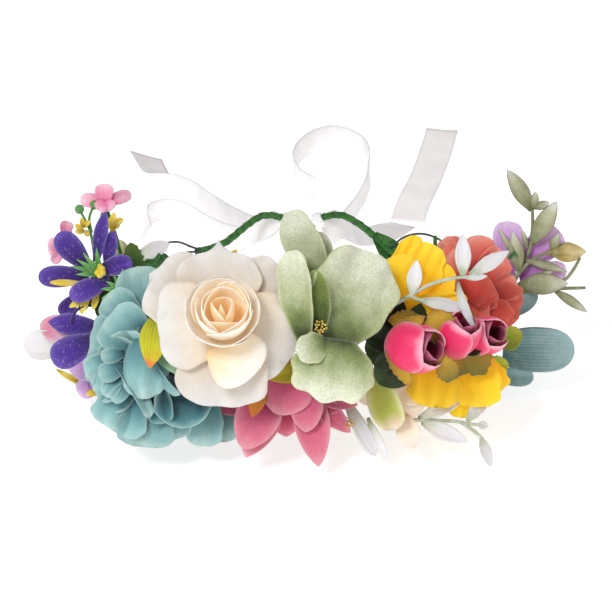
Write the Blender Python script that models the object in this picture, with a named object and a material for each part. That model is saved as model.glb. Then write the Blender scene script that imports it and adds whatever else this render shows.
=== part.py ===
"""Flower crown: a tape-wrapped wire band, open at the back, that carries a thick front of cloth
flowers, and two bare wire arms at the back, each with satin ribbon tied round its end.

It stands as it does when it is put down: on the lowest petals of the front flowers and on its
ribbons, which lie on the same surface behind it. X is across the crown, -Y is the flowered front
and +Z is up. Sizes are in millimetres, and the last step writes metres.
"""

import math

import bmesh
import bpy
from mathutils import Vector

MM = 0.001

# Driving dimensions
BAND_HALF_WIDTH = 86.0  # centre of the ring to the wire, left and right
BAND_HALF_DEPTH = 80.0  # centre of the ring to the wire, front and back
BAND_HEIGHT = 44.0  # height of the wire above the table at the front
BAND_DROP = 17.0  # how far the wire has come down where the bare arms begin
TAPE_RADIUS = 2.3  # taped wire of the flowered part of the band
ARM_RADIUS = 1.3  # taped wire of the two bare arms
SLEEVE_WALL = 1.9  # thickness of the ragged tape wound where an arm leaves the band
KNOT_WALL = 2.5  # thickness of the ribbon tied round an arm's end
STEM_RADIUS = 0.9  # wire stem of one flower or leaf
ARM_RISE = 11.0  # how high an arm arches between the band and its tied end
PETAL = 1.2  # thickness of one layer of petals, with the air held between them
LAYER_GAP = 0.8  # clear space between two layers of one flower
FIRST_LAYER = 2.0  # from a head's base to its outermost petals
CALYX_DEPTH = 6.0  # from a big flower's base back to the foot of its calyx
CALYX_RADIUS = 7.0
BRACT_DEPTH = 4.0  # from a rosebud's base back to the foot of its bracts
BUD_LENGTH = 21.0
CLEARANCE = 0.35  # gap between pieces that press against each other
STEM_GAP = 0.5  # from the end of a stem to the flower it carries
BAND_GAP = 1.0  # between the wire and the nearest petals
RIBBON_WIDTH = 15.0
TAIL_WIDTH = 19.0  # the broad tail that lies flat
RIBBON_THICKNESS = 0.6
LEAF = 0.9  # thickness of a leaf spray
LEAF_START = 1.4  # from the end of a stem to where its leaf begins
FLOWER_SCALE = 1.0  # size of every flower head against the sizes listed for it
HINGE_ANGLE = 52.0  # degrees from straight back to each hinge, seen from the ring's centre

SLEEVE_TURN = 14.0  # degrees of the ring past each hinge that hold tape and no stem
ARM_TIP = 4.5  # from the middle of the back to the end of each arm

# Colours as display values
GREEN_TAPE = "2A5F26"
SATIN = "F4F2F2"
CREAM = "F3E9E2"
AQUA = "86B6B8"
SAGE = "BFCB96"
ROSE_PINK = "D8607F"
YELLOW = "F6BE10"
HOT_PINK = "E82A62"
CORAL = "D8503C"
VIOLET = "4A2A96"
LILAC = "B988D0"
LEAF_GREEN = "5C7A34"
OLIVE = "A08A3A"
TEAL = "3C7C88"
PALE_LEAF = "DDE3DC"
GOLD = "E0B030"
PEACH = "F0B070"
BLUSH = "EBC9A8"
PLASTIC_PINK = "F0A8C8"


def linear(channel):
    """One display colour channel as the linear value a material holds."""
    return channel / 12.92 if channel <= 0.04045 else ((channel + 0.055) / 1.055) ** 2.4


def material(name, colour, roughness):
    """A plain Principled material for one sub-part."""
    made = bpy.data.materials.new(name)
    made.use_nodes = True
    shader = made.node_tree.nodes["Principled BSDF"]
    rgb = [linear(int(colour[i : i + 2], 16) / 255) for i in (0, 2, 4)]
    shader.inputs["Base Color"].default_value = (*rgb, 1.0)
    shader.inputs["Roughness"].default_value = roughness
    return made


def finished(name, bm, colour, roughness=0.7, smooth=True):
    """One named sub-part, from a closed bmesh in millimetres."""
    bmesh.ops.recalc_face_normals(bm, faces=bm.faces)
    if bm.calc_volume(signed=True) < 0:
        bmesh.ops.reverse_faces(bm, faces=bm.faces)
    bmesh.ops.scale(bm, vec=(MM, MM, MM), verts=bm.verts)
    mesh = bpy.data.meshes.new(name)
    bm.to_mesh(mesh)
    bm.free()
    for polygon in mesh.polygons:
        polygon.use_smooth = smooth
    mesh.materials.append(material(name, colour, roughness))
    made = bpy.data.objects.new(name, mesh)
    bpy.context.scene.collection.objects.link(made)
    return made


def basis(facing, roll=0.0):
    """Side, top and facing directions of a flower or leaf, turned by roll degrees about its facing."""
    ahead = Vector(facing).normalized()
    side = Vector((0, 0, 1)).cross(ahead)
    side = side.normalized() if side.length > 1e-6 else Vector((1, 0, 0))
    top = ahead.cross(side)
    turn = math.radians(roll)
    across = side * math.cos(turn) + top * math.sin(turn)
    return across, ahead.cross(across), ahead


def smooth_path(points, per_span):
    """Points of a Catmull-Rom curve through the given ones."""
    known = [Vector(p) for p in points]
    known = [known[0] * 2 - known[1]] + known + [known[-1] * 2 - known[-2]]
    out = []
    for i in range(1, len(known) - 2):
        a, b, c, d = known[i - 1 : i + 3]
        for step in range(per_span):
            t = step / per_span
            out.append(
                b + ((c - a) * t + (a * 2 - b * 5 + c * 4 - d) * t**2 + (b * 3 - a - c * 3 + d) * t**3) / 2
            )
    return out + [known[-2]]


def sweep(stations):
    """A bmesh solid whose section passes through stations, each the section's corners in place."""
    bm = bmesh.new()
    start = bm.faces.new([bm.verts.new(corner) for corner in stations[0]])
    face = start
    for station in stations[1:]:
        grown = bmesh.ops.extrude_face_region(bm, geom=[face])
        if face.is_valid and face is not start:
            bmesh.ops.delete(bm, geom=[face], context="FACES_ONLY")
        face = next(item for item in grown["geom"] if isinstance(item, bmesh.types.BMFace))
        for vert, corner in zip(face.verts, station):
            vert.co = corner
    return bm


def round_sections(path, radii, around):
    """Circles square to a path, one at each of its points."""
    circles = []
    upright = Vector((0, 0, 1))
    for i, here in enumerate(path):
        along = (path[min(i + 1, len(path) - 1)] - path[max(i - 1, 0)]).normalized()
        if i == 0 and abs(along.z) > 0.9:
            upright = Vector((0, 1, 0))
        side = along.cross(upright).normalized()
        upright = side.cross(along)
        turns = [math.tau * j / around for j in range(around)]
        circles.append([here + (side * math.cos(t) + upright * math.sin(t)) * radii[i] for t in turns])
    return circles


def tube(name, path, radius, colour, around=8, roughness=0.8):
    """A round wire along a path; radius is one number or one for each point."""
    radii = radius if isinstance(radius, list) else [radius] * len(path)
    return finished(name, sweep(round_sections(path, radii, around)), colour, roughness)


def sleeve(name, path, inner, outer, colour, around=10):
    """A wound collar with the wire passing through it; inner and outer hold a radius for each point."""
    bm = bmesh.new()
    circles = round_sections(path, outer, around) + round_sections(path, inner, around)[::-1]
    loops = [[bm.verts.new(corner) for corner in circle] for circle in circles]
    for first, second in zip(loops, loops[1:] + loops[:1]):
        for j in range(around):
            k = (j + 1) % around
            bm.faces.new((first[j], first[k], second[k], second[j]))
    return finished(name, bm, colour, 0.9)


# Flower heads: where the petals spring from (degrees round the ring from straight back, distance
# outside the wire, height above the table), the way the flower faces, its radius, and its depth
# from back to front. Every head owns the space nearer to it than to its neighbours, weighted by
# size, because crowded petals flatten against each other.
HEADS = {
    "cream_rose": ((199, 22.5, 79), (-0.12, -0.90, 0.42), 35, 17),
    "aqua_peony": ((217, 26.4, 46), (-0.40, -0.88, 0.25), 42, 16),
    "sage_magnolia": ((174, 10.6, 75), (0.10, -0.90, 0.42), 40, 15),
    "pink_dahlia": ((182, 12, 30), (0.00, -0.98, 0.18), 34, 12),
    "blush_bloom": ((158, 12.8, 37), (0.15, -0.97, 0.15), 18, 12),
    "upper_tulip": ((147, 4.5, 73), (0.10, -0.55, 0.83), 18, 20),
    "lower_tulip": ((142, 19.8, 35), (0.30, -0.93, 0.10), 20, 12),
    "left_rosebud": ((152, 18.5, 59), (0.14, -0.93, 0.33), 12, 18),
    "middle_rosebud": ((142, 22, 61), (0.25, -0.85, 0.45), 8, 18),
    "right_rosebud": ((134, 23.8, 55), (0.55, -0.80, 0.20), 9, 18),
    "coral_rose": ((124, 5.2, 70), (0.55, -0.75, 0.35), 21, 15),
    "lilac_orchid": ((95, 14.4, 64), (0.75, -0.60, 0.28), 17, 8),
    "violet_flower": ((250, 8.6, 66), (-0.50, -0.78, 0.38), 25, 9),
    "low_violet_flower": ((247, 22.6, 36), (-0.65, -0.75, 0.10), 17, 9),
    "pink_filler": ((264, 5.5, 88), (-0.25, -0.70, 0.65), 12, 6),
    "side_filler": ((264, 22.5, 68), (-0.70, -0.65, 0.30), 11, 6),
    "low_lilac_flower": ((248, 18.3, 11), (-0.60, -0.78, 0.15), 13, 8),
}


# Where each leaf or leaf spray begins, in the same terms
LEAF_FEET = {
    "olive_spray": (87, 11.1, 40),
    "gold_bud_spray": (84, 13.6, 35),
    "teal_leaf_large": (109, 13.3, 26),
    "teal_leaf_small": (105, 13.3, 40),
    "yellow_green_leaf": (116, 17.2, 38),
    "white_upper_spray": (128, -9.3, 90),
    "white_lower_spray": (155, 28.9, 13),
    "pale_back_leaf": (299, -5.9, 41),
    "serrated_leaf": (263, -13.5, 58),
}


def on_band(degrees):
    """A point of the wire; 0 is straight back and angles grow towards +X."""
    turn = math.radians(degrees)
    forward = (1 - math.cos(turn)) / 2
    return Vector((
        BAND_HALF_WIDTH * math.sin(turn),
        BAND_HALF_DEPTH * math.cos(turn),
        BAND_HEIGHT - BAND_DROP * (1 - forward) ** 1.5,
    ))


def beside_band(degrees, outside, height):
    """A point at some distance outside the wire and some height above the table."""
    wire = on_band(degrees)
    level = Vector((wire.x, wire.y, 0))
    return level * (1 + outside / level.length) + Vector((0, 0, height))


def cell(name):
    """Planes (point, inward direction) that close off the space one flower head owns."""
    base, facing, radius, depth = HEADS[name]
    here = beside_band(*base) + Vector(facing).normalized() * depth / 2
    planes = [(Vector((0, 0, 0)), Vector((0, 0, 1)))]
    for other, (its_base, its_facing, its_radius, its_depth) in HEADS.items():
        if other == name:
            continue
        there = beside_band(*its_base) + Vector(its_facing).normalized() * its_depth / 2
        apart = there - here
        reach = apart.length
        if reach > (radius + its_radius) * 1.3 * FLOWER_SCALE:
            continue
        share = (reach**2 + radius**2 - its_radius**2) / (2 * reach)
        share = min(max(share, reach * 0.22), reach * 0.78)
        toward = apart.normalized()
        planes.append((here + toward * (share - CLEARANCE / 2), -toward))
    # nothing of a flower goes behind the wire it is bound to
    wire = on_band(base[0])
    outward = Vector((wire.x / BAND_HALF_WIDTH, wire.y / BAND_HALF_DEPTH, 0)).normalized()
    planes.append((Vector((wire.x, wire.y, 0)) + outward * (TAPE_RADIUS + BAND_GAP), outward))
    return planes


def inside(point, planes):
    return all((point - at).dot(inward) >= -1e-9 for at, inward in planes)


def turned(profile, around):
    """A bmesh turned about Z from a profile of (radius, height) points that starts on the axis."""
    bm = bmesh.new()
    chain = [bm.verts.new((radius, 0, height)) for radius, height in profile]
    edges = [bm.edges.new(pair) for pair in zip(chain, chain[1:])]
    bmesh.ops.spin(bm, geom=chain + edges, axis=(0, 0, 1), angle=math.tau, steps=around, use_merge=True)
    bmesh.ops.remove_doubles(bm, verts=bm.verts, dist=1e-5)
    return bm


def layer_start(layer):
    """How far in front of a head's base a layer of petals begins, counted from the outermost, 0."""
    return FIRST_LAYER + layer * (PETAL + LAYER_GAP)


def petals(name, head, layer, reach, rise, lobes, lobe_depth, colour, roll=0.0, curve=2.0, sharp=1.0,
           around=24, rings=4, thickness=PETAL, roughness=0.75):
    """One layer of petals: a lobed dish, closed all round.

    reach is its radius as a share of the head's and rise how far its rim comes forward. Its height
    follows distance from the middle alone, so a layer with more rise sits inside a layer with less
    and never touches it.
    """
    base, facing, radius, _ = HEADS[head]
    base = beside_band(*base)
    radius = radius * FLOWER_SCALE
    across, top, ahead = basis(facing, roll)
    planes = cell(head)
    full = radius * reach

    def at(r, turn, lift):
        height = layer_start(layer) + rise * (r / full) ** curve + lift
        return base + (across * math.cos(turn) + top * math.sin(turn)) * r + ahead * height

    rims = []
    for j in range(around):
        turn = math.tau * j / around
        lobe = abs(math.cos(lobes * turn / 2)) ** sharp
        limit = full * (1 - lobe_depth * (1 - lobe))
        kept, lost = 0.0, limit
        if inside(at(limit, turn, 0), planes) and inside(at(limit, turn, thickness), planes):
            kept = limit
        for _ in range(14 if kept == 0.0 else 0):
            middle = (kept + lost) / 2
            if inside(at(middle, turn, 0), planes) and inside(at(middle, turn, thickness), planes):
                kept = middle
            else:
                lost = middle
        rims.append(max(kept, 1.5))
    bm = turned([(i / rings, 0) for i in range(rings + 1)], around)
    grown = bmesh.ops.extrude_face_region(bm, geom=bm.faces[:])
    front = {item for item in grown["geom"] if isinstance(item, bmesh.types.BMVert)}
    for vert in bm.verts:
        turn = math.atan2(vert.co.y, vert.co.x)
        share = math.hypot(vert.co.x, vert.co.y)
        rim = rims[round(turn / math.tau * around) % around]
        vert.co = at(rim * share, turn, thickness if vert in front else 0)
    return finished(name, bm, colour, roughness)


def bud(name, foot, facing, length, profile, colour, around=10, flutes=0, flute_depth=0.0, roughness=0.7):
    """A closed turned body such as a heart, a rosebud or a calyx; profile is (along, radius) pairs."""
    across, top, ahead = basis(facing)
    bm = turned([(radius, along) for along, radius in profile], around)
    for vert in bm.verts:
        turn = math.atan2(vert.co.y, vert.co.x)
        r = math.hypot(vert.co.x, vert.co.y) * (1 - flute_depth * (0.5 + 0.5 * math.cos(flutes * turn)))
        vert.co = foot + ahead * vert.co.z * length + (across * math.cos(turn) + top * math.sin(turn)) * r
    return finished(name, bm, colour, roughness)


TURNED = ((0, 0), (0.04, 0.5), (0.3, 0.9), (0.6, 1.0), (0.85, 0.7), (0.97, 0.3), (1, 0))


def heart(name, head, layers, length, radius, colour, flutes=0):
    """The closed middle of a flower, in front of its layers of petals."""
    base, facing, _, _ = HEADS[head]
    foot = beside_band(*base) + Vector(facing).normalized() * (layer_start(layers) + 0.2)
    shape = [(t, r * radius * FLOWER_SCALE) for t, r in TURNED]
    bud(name, foot, facing, length, shape, colour, around=12 if flutes else 10, flutes=flutes,
        flute_depth=0.18 if flutes else 0)


LEAF_LEAN = math.radians(42)  # between a spray's stem and its leaves
LEAF_OUTLINE = ((0.0, 0.22), (0.2, 0.65), (0.5, 1.0), (0.82, 0.6), (1.0, 0.0), (0.82, -0.6), (0.5, -1.0),
                (0.2, -0.65), (0.0, -0.22))


def spray(name, along, facing, length, leaves, colour, stem=0.75, roughness=0.6, resting=False):
    """A stem with leaves, cut as one flat piece.

    leaves is a list of (place on the stem, side, length, width) with place from 0 to 1 and side
    -1, 0 or 1, where 0 is the leaf that ends the stem.
    """
    ahead = Vector(along).normalized()
    normal = Vector(facing)
    normal = (normal - ahead * normal.dot(ahead)).normalized()
    side = normal.cross(ahead)
    foot = beside_band(*LEAF_FEET[name]) + ahead * LEAF_START
    outline = {1: [], -1: []}
    for hand in (1, -1):
        edge = [(0.0, stem)]
        for place, its_side, leaf_length, width in sorted(leaves):
            if its_side != hand:
                continue
            for t, w in LEAF_OUTLINE:
                x = math.cos(LEAF_LEAN) * leaf_length * t - math.sin(LEAF_LEAN) * w * width / 2
                y = math.sin(LEAF_LEAN) * leaf_length * t + math.cos(LEAF_LEAN) * w * width / 2
                edge.append((place * length + x, stem + max(y, 0.0)))
        edge.append((length, stem * 0.8))
        outline[hand] = edge
    end = []
    for _, _, leaf_length, width in [item for item in leaves if item[1] == 0]:
        end = [(length + leaf_length * t, w * width / 2) for t, w in LEAF_OUTLINE[1:-1]]
    flat = outline[1] + end + [(x, -y) for x, y in reversed(outline[-1])]
    cleaned = []
    for point in flat:
        if not cleaned or (Vector(point) - Vector(cleaned[-1])).length > 0.05:
            cleaned.append(point)
    bm = bmesh.new()
    back = foot - normal * LEAF / 2
    flat_leaf = bm.faces.new([bm.verts.new(back + ahead * x + side * y) for x, y in cleaned])
    grown = bmesh.ops.extrude_face_region(bm, geom=[flat_leaf])
    front = [item for item in grown["geom"] if isinstance(item, bmesh.types.BMVert)]
    bmesh.ops.translate(bm, vec=normal * LEAF, verts=front)
    if resting:
        drop = min(vert.co.z for vert in bm.verts)
        bmesh.ops.translate(bm, vec=(0, 0, -drop), verts=bm.verts)
    return finished(name, bm, colour, roughness, smooth=False)


def leaf(name, along, facing, length, width, colour, cup=0.05, roughness=0.6):
    """One pointed leaf or petal, cupped along its length, with a rounded thickness."""
    ahead = Vector(along).normalized()
    normal = Vector(facing)
    normal = (normal - ahead * normal.dot(ahead)).normalized()
    side = normal.cross(ahead)
    foot = beside_band(*LEAF_FEET[name]) + ahead * LEAF_START
    widths = (0.12, 0.66, 0.96, 1.0, 0.82, 0.5, 0.05)
    bm = bmesh.new()
    bmesh.ops.create_grid(bm, x_segments=len(widths) - 1, y_segments=4, size=1)
    grown = bmesh.ops.extrude_face_region(bm, geom=bm.faces[:])
    front = {item for item in grown["geom"] if isinstance(item, bmesh.types.BMVert)}
    for vert in bm.verts:
        t = (vert.co.x + 1) / 2
        half_width = widths[round(t * (len(widths) - 1))] * width / 2
        sag = 4 * cup * length * t * (1 - t)
        dish = cup * 2 * half_width * vert.co.y**2
        lift = dish - sag + (LEAF if vert in front else 0)
        vert.co = foot + ahead * length * t + side * vert.co.y * half_width + normal * lift
    return finished(name, bm, colour, roughness)


def ribbon(name, stations, width, colour=SATIN, per_span=4):
    """A strip of ribbon; stations are (x, distance behind the ring, height of its lower edge, tilt).

    tilt is 0 where the ribbon lies flat and 1 where it stands on its edge.
    """
    path = smooth_path([(x, BAND_HALF_DEPTH + behind, z) for x, behind, z, _ in stations], per_span)
    tilts = [p.x for p in smooth_path([(s[3], 0, 0) for s in stations], per_span)]
    half = RIBBON_THICKNESS / 2
    sections = []
    for i, here in enumerate(path):
        along = path[min(i + 1, len(path) - 1)] - path[max(i - 1, 0)]
        level = Vector((along.x, along.y, 0)).normalized()
        flat_way = Vector((0, 0, 1)).cross(level)
        lean = min(max(tilts[i], 0.0), 1.0) * math.pi / 2
        wide = flat_way * math.cos(lean) + Vector((0, 0, 1)) * math.sin(lean)
        thin = (-flat_way * math.sin(lean) + Vector((0, 0, 1)) * math.cos(lean))
        lift = width / 2 * math.sin(lean) + half * math.cos(lean)
        middle = Vector((here.x, here.y, max(here.z, 0.0) + lift))
        corners = ((-1, -1), (1, -1), (1, 1), (-1, 1))
        sections.append([middle + wide * a * width / 2 + thin * b * half for a, b in corners])
    return finished(name, sweep(sections), colour, 0.35, smooth=False)


for item in list(bpy.data.objects):
    bpy.data.objects.remove(item, do_unlink=True)

# The band: wire and tape from one hinge, round the front, to the other.
BAND_STEPS = 28
front = [on_band(HINGE_ANGLE + (360 - 2 * HINGE_ANGLE) * i / BAND_STEPS) for i in range(BAND_STEPS + 1)]
band = tube("front_band", front, TAPE_RADIUS, GREEN_TAPE)

# Wire stems: each flower and leaf is wired on by itself, and its stem is taped to the band.
WITH_CALYX = ("cream_rose", "aqua_peony", "sage_magnolia")
stem_ends = [beside_band(*place) for place in LEAF_FEET.values()]
for head, (base, facing, _, _) in HEADS.items():
    foot_depth = STEM_GAP - FIRST_LAYER / 2
    if head in WITH_CALYX:
        foot_depth = CALYX_DEPTH + STEM_GAP
    elif head.endswith("rosebud"):
        foot_depth = BRACT_DEPTH + STEM_GAP
    stem_ends.append(beside_band(*base) - Vector(facing).normalized() * foot_depth)
stems = bpy.data.collections.new("stems")
bpy.context.scene.collection.children.link(stems)
for number, foot in enumerate(stem_ends):
    turn = math.degrees(math.atan2(foot.x / BAND_HALF_WIDTH, foot.y / BAND_HALF_DEPTH)) % 360
    root = on_band(min(max(turn, HINGE_ANGLE + SLEEVE_TURN), 360 - HINGE_ANGLE - SLEEVE_TURN))
    inward = -Vector((root.x, root.y, 0)).normalized()
    bend = (root + foot) / 2 + inward * min(3.0, (foot - root).length * 0.12)
    stem = tube(f"stem_{number}", smooth_path([root, bend, foot], 3), STEM_RADIUS, GREEN_TAPE, around=6)
    stem.hide_render = True
    stem.display_type = "WIRE"
    bpy.context.scene.collection.objects.unlink(stem)
    stems.objects.link(stem)
join = band.modifiers.new("stems", "BOOLEAN")
join.operation = "UNION"
join.solver = "EXACT"
join.operand_type = "COLLECTION"
join.collection = stems

# Each side of the back: a sleeve of ragged tape on the band, the bare arm that starts at the hinge
# and arches to its tied end, and the ribbon knotted round that end.
for hand, label in ((-1, "left"), (1, "right")):
    wound = [on_band(hand * (HINGE_ANGLE + turn)) for turn in (1.0, 4.0, 7.0, 10.0)]
    bore = TAPE_RADIUS + CLEARANCE
    outer = [bore + SLEEVE_WALL * share for share in (0.4, 0.95, 1.0, 0.5)]
    sleeve(f"{label}_tape_sleeve", wound, [bore] * 4, outer, GREEN_TAPE)

    hinge = on_band(hand * HINGE_ANGLE)
    crest = Vector((hand * 20, BAND_HALF_DEPTH - 3.0, hinge.z + ARM_RISE))
    slope = hinge.lerp(crest, 0.55) + Vector((0, 1.5, 1.0))
    start = hinge + (slope - hinge).normalized() * (TAPE_RADIUS * 0.2 + 0.6)
    near_tip = Vector((hand * (ARM_TIP + 6), BAND_HALF_DEPTH - 1.5, hinge.z + ARM_RISE * 0.78))
    tip = Vector((hand * ARM_TIP, BAND_HALF_DEPTH - 1.0, hinge.z + ARM_RISE * 0.27))
    path = smooth_path([start, slope, crest, near_tip, tip], 5)
    radii = [ARM_RADIUS * (1.5 - 0.5 * min(i / 6, 1)) for i in range(len(path))]
    tube(f"{label}_arm", path, radii, GREEN_TAPE)

    bore = ARM_RADIUS + CLEARANCE
    outer = [bore + KNOT_WALL * share for share in (0.55, 0.95, 1.0, 0.6)]
    sleeve(f"{label}_ribbon_knot", path[-6:-2], [bore] * 4, outer, SATIN)
    print(label, "hinge at", [round(c * MM, 5) for c in hinge])

# Satin ribbon. Each tail comes down from its knot and lies on the table behind the crown.
ribbon("right_ribbon_curl", [
    (13, 6, 22, 1.0), (16, 24, 12, 1.0), (24, 60, 1, 1.0), (35, 102, 0, 1.0), (38, 134, 0, 1.0),
    (33, 162, 0, 1.0), (18, 173, 0, 1.0), (2, 162, 0, 1.0), (-5, 136, 0, 1.0), (-2, 115, 0, 1.0),
    (7, 103, 0, 1.0)], RIBBON_WIDTH)
ribbon("right_ribbon_drop", [
    (22, 4, 24, 0.85), (28, 20, 14, 0.6), (40, 46, 4, 0.25), (55, 72, 0, 0)], TAIL_WIDTH * 0.8)
ribbon("right_ribbon_tail", [
    (57.5, 76, 0, 0), (62, 100, 0, 0), (70, 132, 0, 0), (77, 166, 0, 0), (83, 201, 0, 0)], TAIL_WIDTH)
ribbon("left_ribbon_outer", [
    (-19, 6, 20, 1.0), (-24, 28, 12, 1.0), (-36, 56, 3, 1.0), (-54, 88, 0, 1.0), (-68, 108, 0, 0.8),
    (-82, 134, 0, 0.3), (-92, 176, 0, 0.0)], RIBBON_WIDTH)
ribbon("left_ribbon_inner", [
    (-25, 4, 20, 1.0), (-34, 24, 8, 1.0), (-48, 50, 0, 1.0), (-62, 70, 0, 0.9), (-76, 76, 0, 0.9),
    (-84, 66, 0, 0.9), (-84, 46, 0, 0.7)], RIBBON_WIDTH)

# Petals, layer by layer from the outside in: name, layer, reach, rise, lobes and their depth
petals("rose_outer_petals", "cream_rose", 0, 1.0, 7, 5, 0.16, CREAM, roll=18)
petals("rose_middle_petals", "cream_rose", 1, 0.76, 13, 4, 0.12, CREAM, roll=50)
petals("rose_inner_petals", "cream_rose", 2, 0.50, 14, 3, 0.12, CREAM, roll=10, around=18)
petals("peony_outer_petals", "aqua_peony", 0, 1.0, 6, 6, 0.16, AQUA)
petals("peony_middle_petals", "aqua_peony", 1, 0.74, 13, 5, 0.14, AQUA, roll=25)
petals("peony_inner_petals", "aqua_peony", 2, 0.47, 14, 4, 0.14, AQUA, roll=60, around=18)
petals("magnolia_outer_petals", "sage_magnolia", 0, 1.0, 9, 3, 0.36, SAGE, roll=85, sharp=0.7)
petals("magnolia_inner_petals", "sage_magnolia", 1, 0.58, 15, 3, 0.25, SAGE, roll=30, sharp=0.8, around=18)
petals("dahlia_outer_petals", "pink_dahlia", 0, 1.0, 3, 12, 0.28, ROSE_PINK, around=36)
petals("dahlia_inner_petals", "pink_dahlia", 1, 0.66, 8, 8, 0.3, ROSE_PINK, roll=12)
petals("blush_outer_petals", "blush_bloom", 0, 1.0, 5, 5, 0.2, BLUSH, around=20)
petals("upper_tulip_outer_petals", "upper_tulip", 0, 0.95, 15, 3, 0.25, YELLOW, roll=90, curve=1.5, around=18)
petals("lower_tulip_petals", "lower_tulip", 0, 1.0, 7, 5, 0.25, YELLOW, around=20)
petals("coral_outer_petals", "coral_rose", 0, 1.0, 7, 5, 0.16, CORAL, roll=20)
petals("coral_inner_petals", "coral_rose", 1, 0.62, 12, 3, 0.15, CORAL, roll=60, around=18)
petals("violet_petals", "violet_flower", 0, 1.0, 3, 5, 0.45, VIOLET, roll=90, sharp=0.8, around=30)
petals("low_violet_petals", "low_violet_flower", 0, 1.0, 3, 5, 0.4, VIOLET, roll=20, around=20)
petals("pink_filler_petals", "pink_filler", 0, 1.0, 4, 5, 0.35, PLASTIC_PINK, around=20, rings=3)
petals("side_filler_petals", "side_filler", 0, 1.0, 4, 5, 0.35, PLASTIC_PINK, around=20, rings=3)
petals("low_lilac_petals", "low_lilac_flower", 0, 1.0, 4, 5, 0.3, LILAC, around=20, rings=3)
petals("orchid_petals", "lilac_orchid", 0, 1.0, 4, 5, 0.35, LILAC, roll=30, around=20)

# Hearts and stamens fill the middle of a flower, in front of its innermost layer of petals.
heart("rose_heart", "cream_rose", 3, 12, 5.2, PEACH, flutes=3)
heart("peony_heart", "aqua_peony", 3, 11, 5.0, AQUA, flutes=3)
heart("magnolia_stamens", "sage_magnolia", 2, 12, 3.4, GOLD)
heart("dahlia_stamens", "pink_dahlia", 2, 8, 4.0, GOLD)
heart("upper_tulip_heart", "upper_tulip", 1, 17, 4.6, YELLOW, flutes=3)
heart("coral_heart", "coral_rose", 2, 11, 4.4, CORAL, flutes=3)
heart("violet_heart", "violet_flower", 1, 5, 3.4, GOLD)

# Hot-pink rosebuds, each standing in its own cup of serrated bracts
BUD_PROFILE = ((0, 0), (0.05, 4.5), (0.3, 9.5), (0.6, 10.5), (0.85, 7.0), (0.97, 3.0), (1, 0))
for label, fullness in (("left", 1.0), ("middle", 0.62), ("right", 0.72)):
    base, facing, _, _ = HEADS[f"{label}_rosebud"]
    ahead = Vector(facing).normalized()
    cup = BRACT_DEPTH * 2 - CLEARANCE
    bud(f"{label}_rosebud", beside_band(*base) + ahead * BRACT_DEPTH, facing, BUD_LENGTH,
        [(t, r * fullness) for t, r in BUD_PROFILE], HOT_PINK, around=14, flutes=5, flute_depth=0.12)
    bud(f"{label}_bud_bracts", beside_band(*base) - ahead * BRACT_DEPTH, facing, cup,
        [(0, 0), (0.05, 1.5), (0.5, 4.2 * fullness + 1), (0.9, 6.0 * fullness + 1), (1, 0)], OLIVE)

# Green calyx cups behind the three big flowers
for head in WITH_CALYX:
    base, facing, _, _ = HEADS[head]
    foot = beside_band(*base) - Vector(facing).normalized() * CALYX_DEPTH
    bud(f"{head}_calyx", foot, facing, CALYX_DEPTH + FIRST_LAYER - CLEARANCE,
        [(0, 0), (0.08, 1.6), (0.45, CALYX_RADIUS / 2), (0.9, CALYX_RADIUS), (1, 0)], LEAF_GREEN)

# Leaf sprays and single leaves: the way each grows, the way its face looks, and its length
spray("olive_spray", (0.12, 0.02, 1.0), (0.1, -1, 0.3), 52,
      [(0.25, 1, 22, 6), (0.45, -1, 24, 8), (0.62, 1, 15, 6), (0.7, -1, 17, 6), (1, 0, 18, 6)], OLIVE)
spray("gold_bud_spray", (0.85, 0.0, 0.42), (0, -1, 0.2), 26,
      [(0.35, 1, 12, 5), (0.5, -1, 16, 6), (1, 0, 12, 6)], OLIVE)
leaf("teal_leaf_large", (1.0, 0.05, -0.12), (0.1, -1, 0.4), 33, 21, TEAL)
leaf("teal_leaf_small", (0.75, 0.1, 0.35), (0.1, -1, 0.5), 22, 11, TEAL)
leaf("yellow_green_leaf", (0.8, -0.3, 0.25), (0.1, -1, 0.5), 20, 10, LEAF_GREEN)
spray("white_upper_spray", (0.55, 0.12, 0.22), (0.1, -1, 0.4), 30,
      [(0.1, 1, 18, 7), (0.5, 1, 19, 8), (0.72, -1, 14, 7), (1, 0, 15, 7)], PALE_LEAF)
spray("white_lower_spray", (1.0, 0.1, -0.04), (0.1, -1, 0.2), 26,
      [(0.15, 1, 16, 8), (0.2, -1, 15, 8), (0.62, 1, 16, 9), (1, 0, 15, 8)], PALE_LEAF, resting=True)
leaf("pale_back_leaf", (-0.2, 0.9, 0.1), (0.1, -0.6, 1), 14, 9, PALE_LEAF)
leaf("serrated_leaf", (0.25, 0.5, 0.75), (-0.2, -1, 0.5), 20, 9, LEAF_GREEN)
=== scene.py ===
# %% [markdown]
# # A flower crown, dressed
#
# The frame holds the plain solids of a hair crown: a taped wire band, dishes where petals go, and
# strips where ribbon lies. This script dresses them. It makes every petal as a thin sheet of
# cloth, winds the tape, lays the satin, and gives each material the grain that it has in the hand.

# %% Load the frame
import functools
import math
import random

import bmesh
import bpy
import numpy as np
from mathutils import Matrix, Vector


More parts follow.
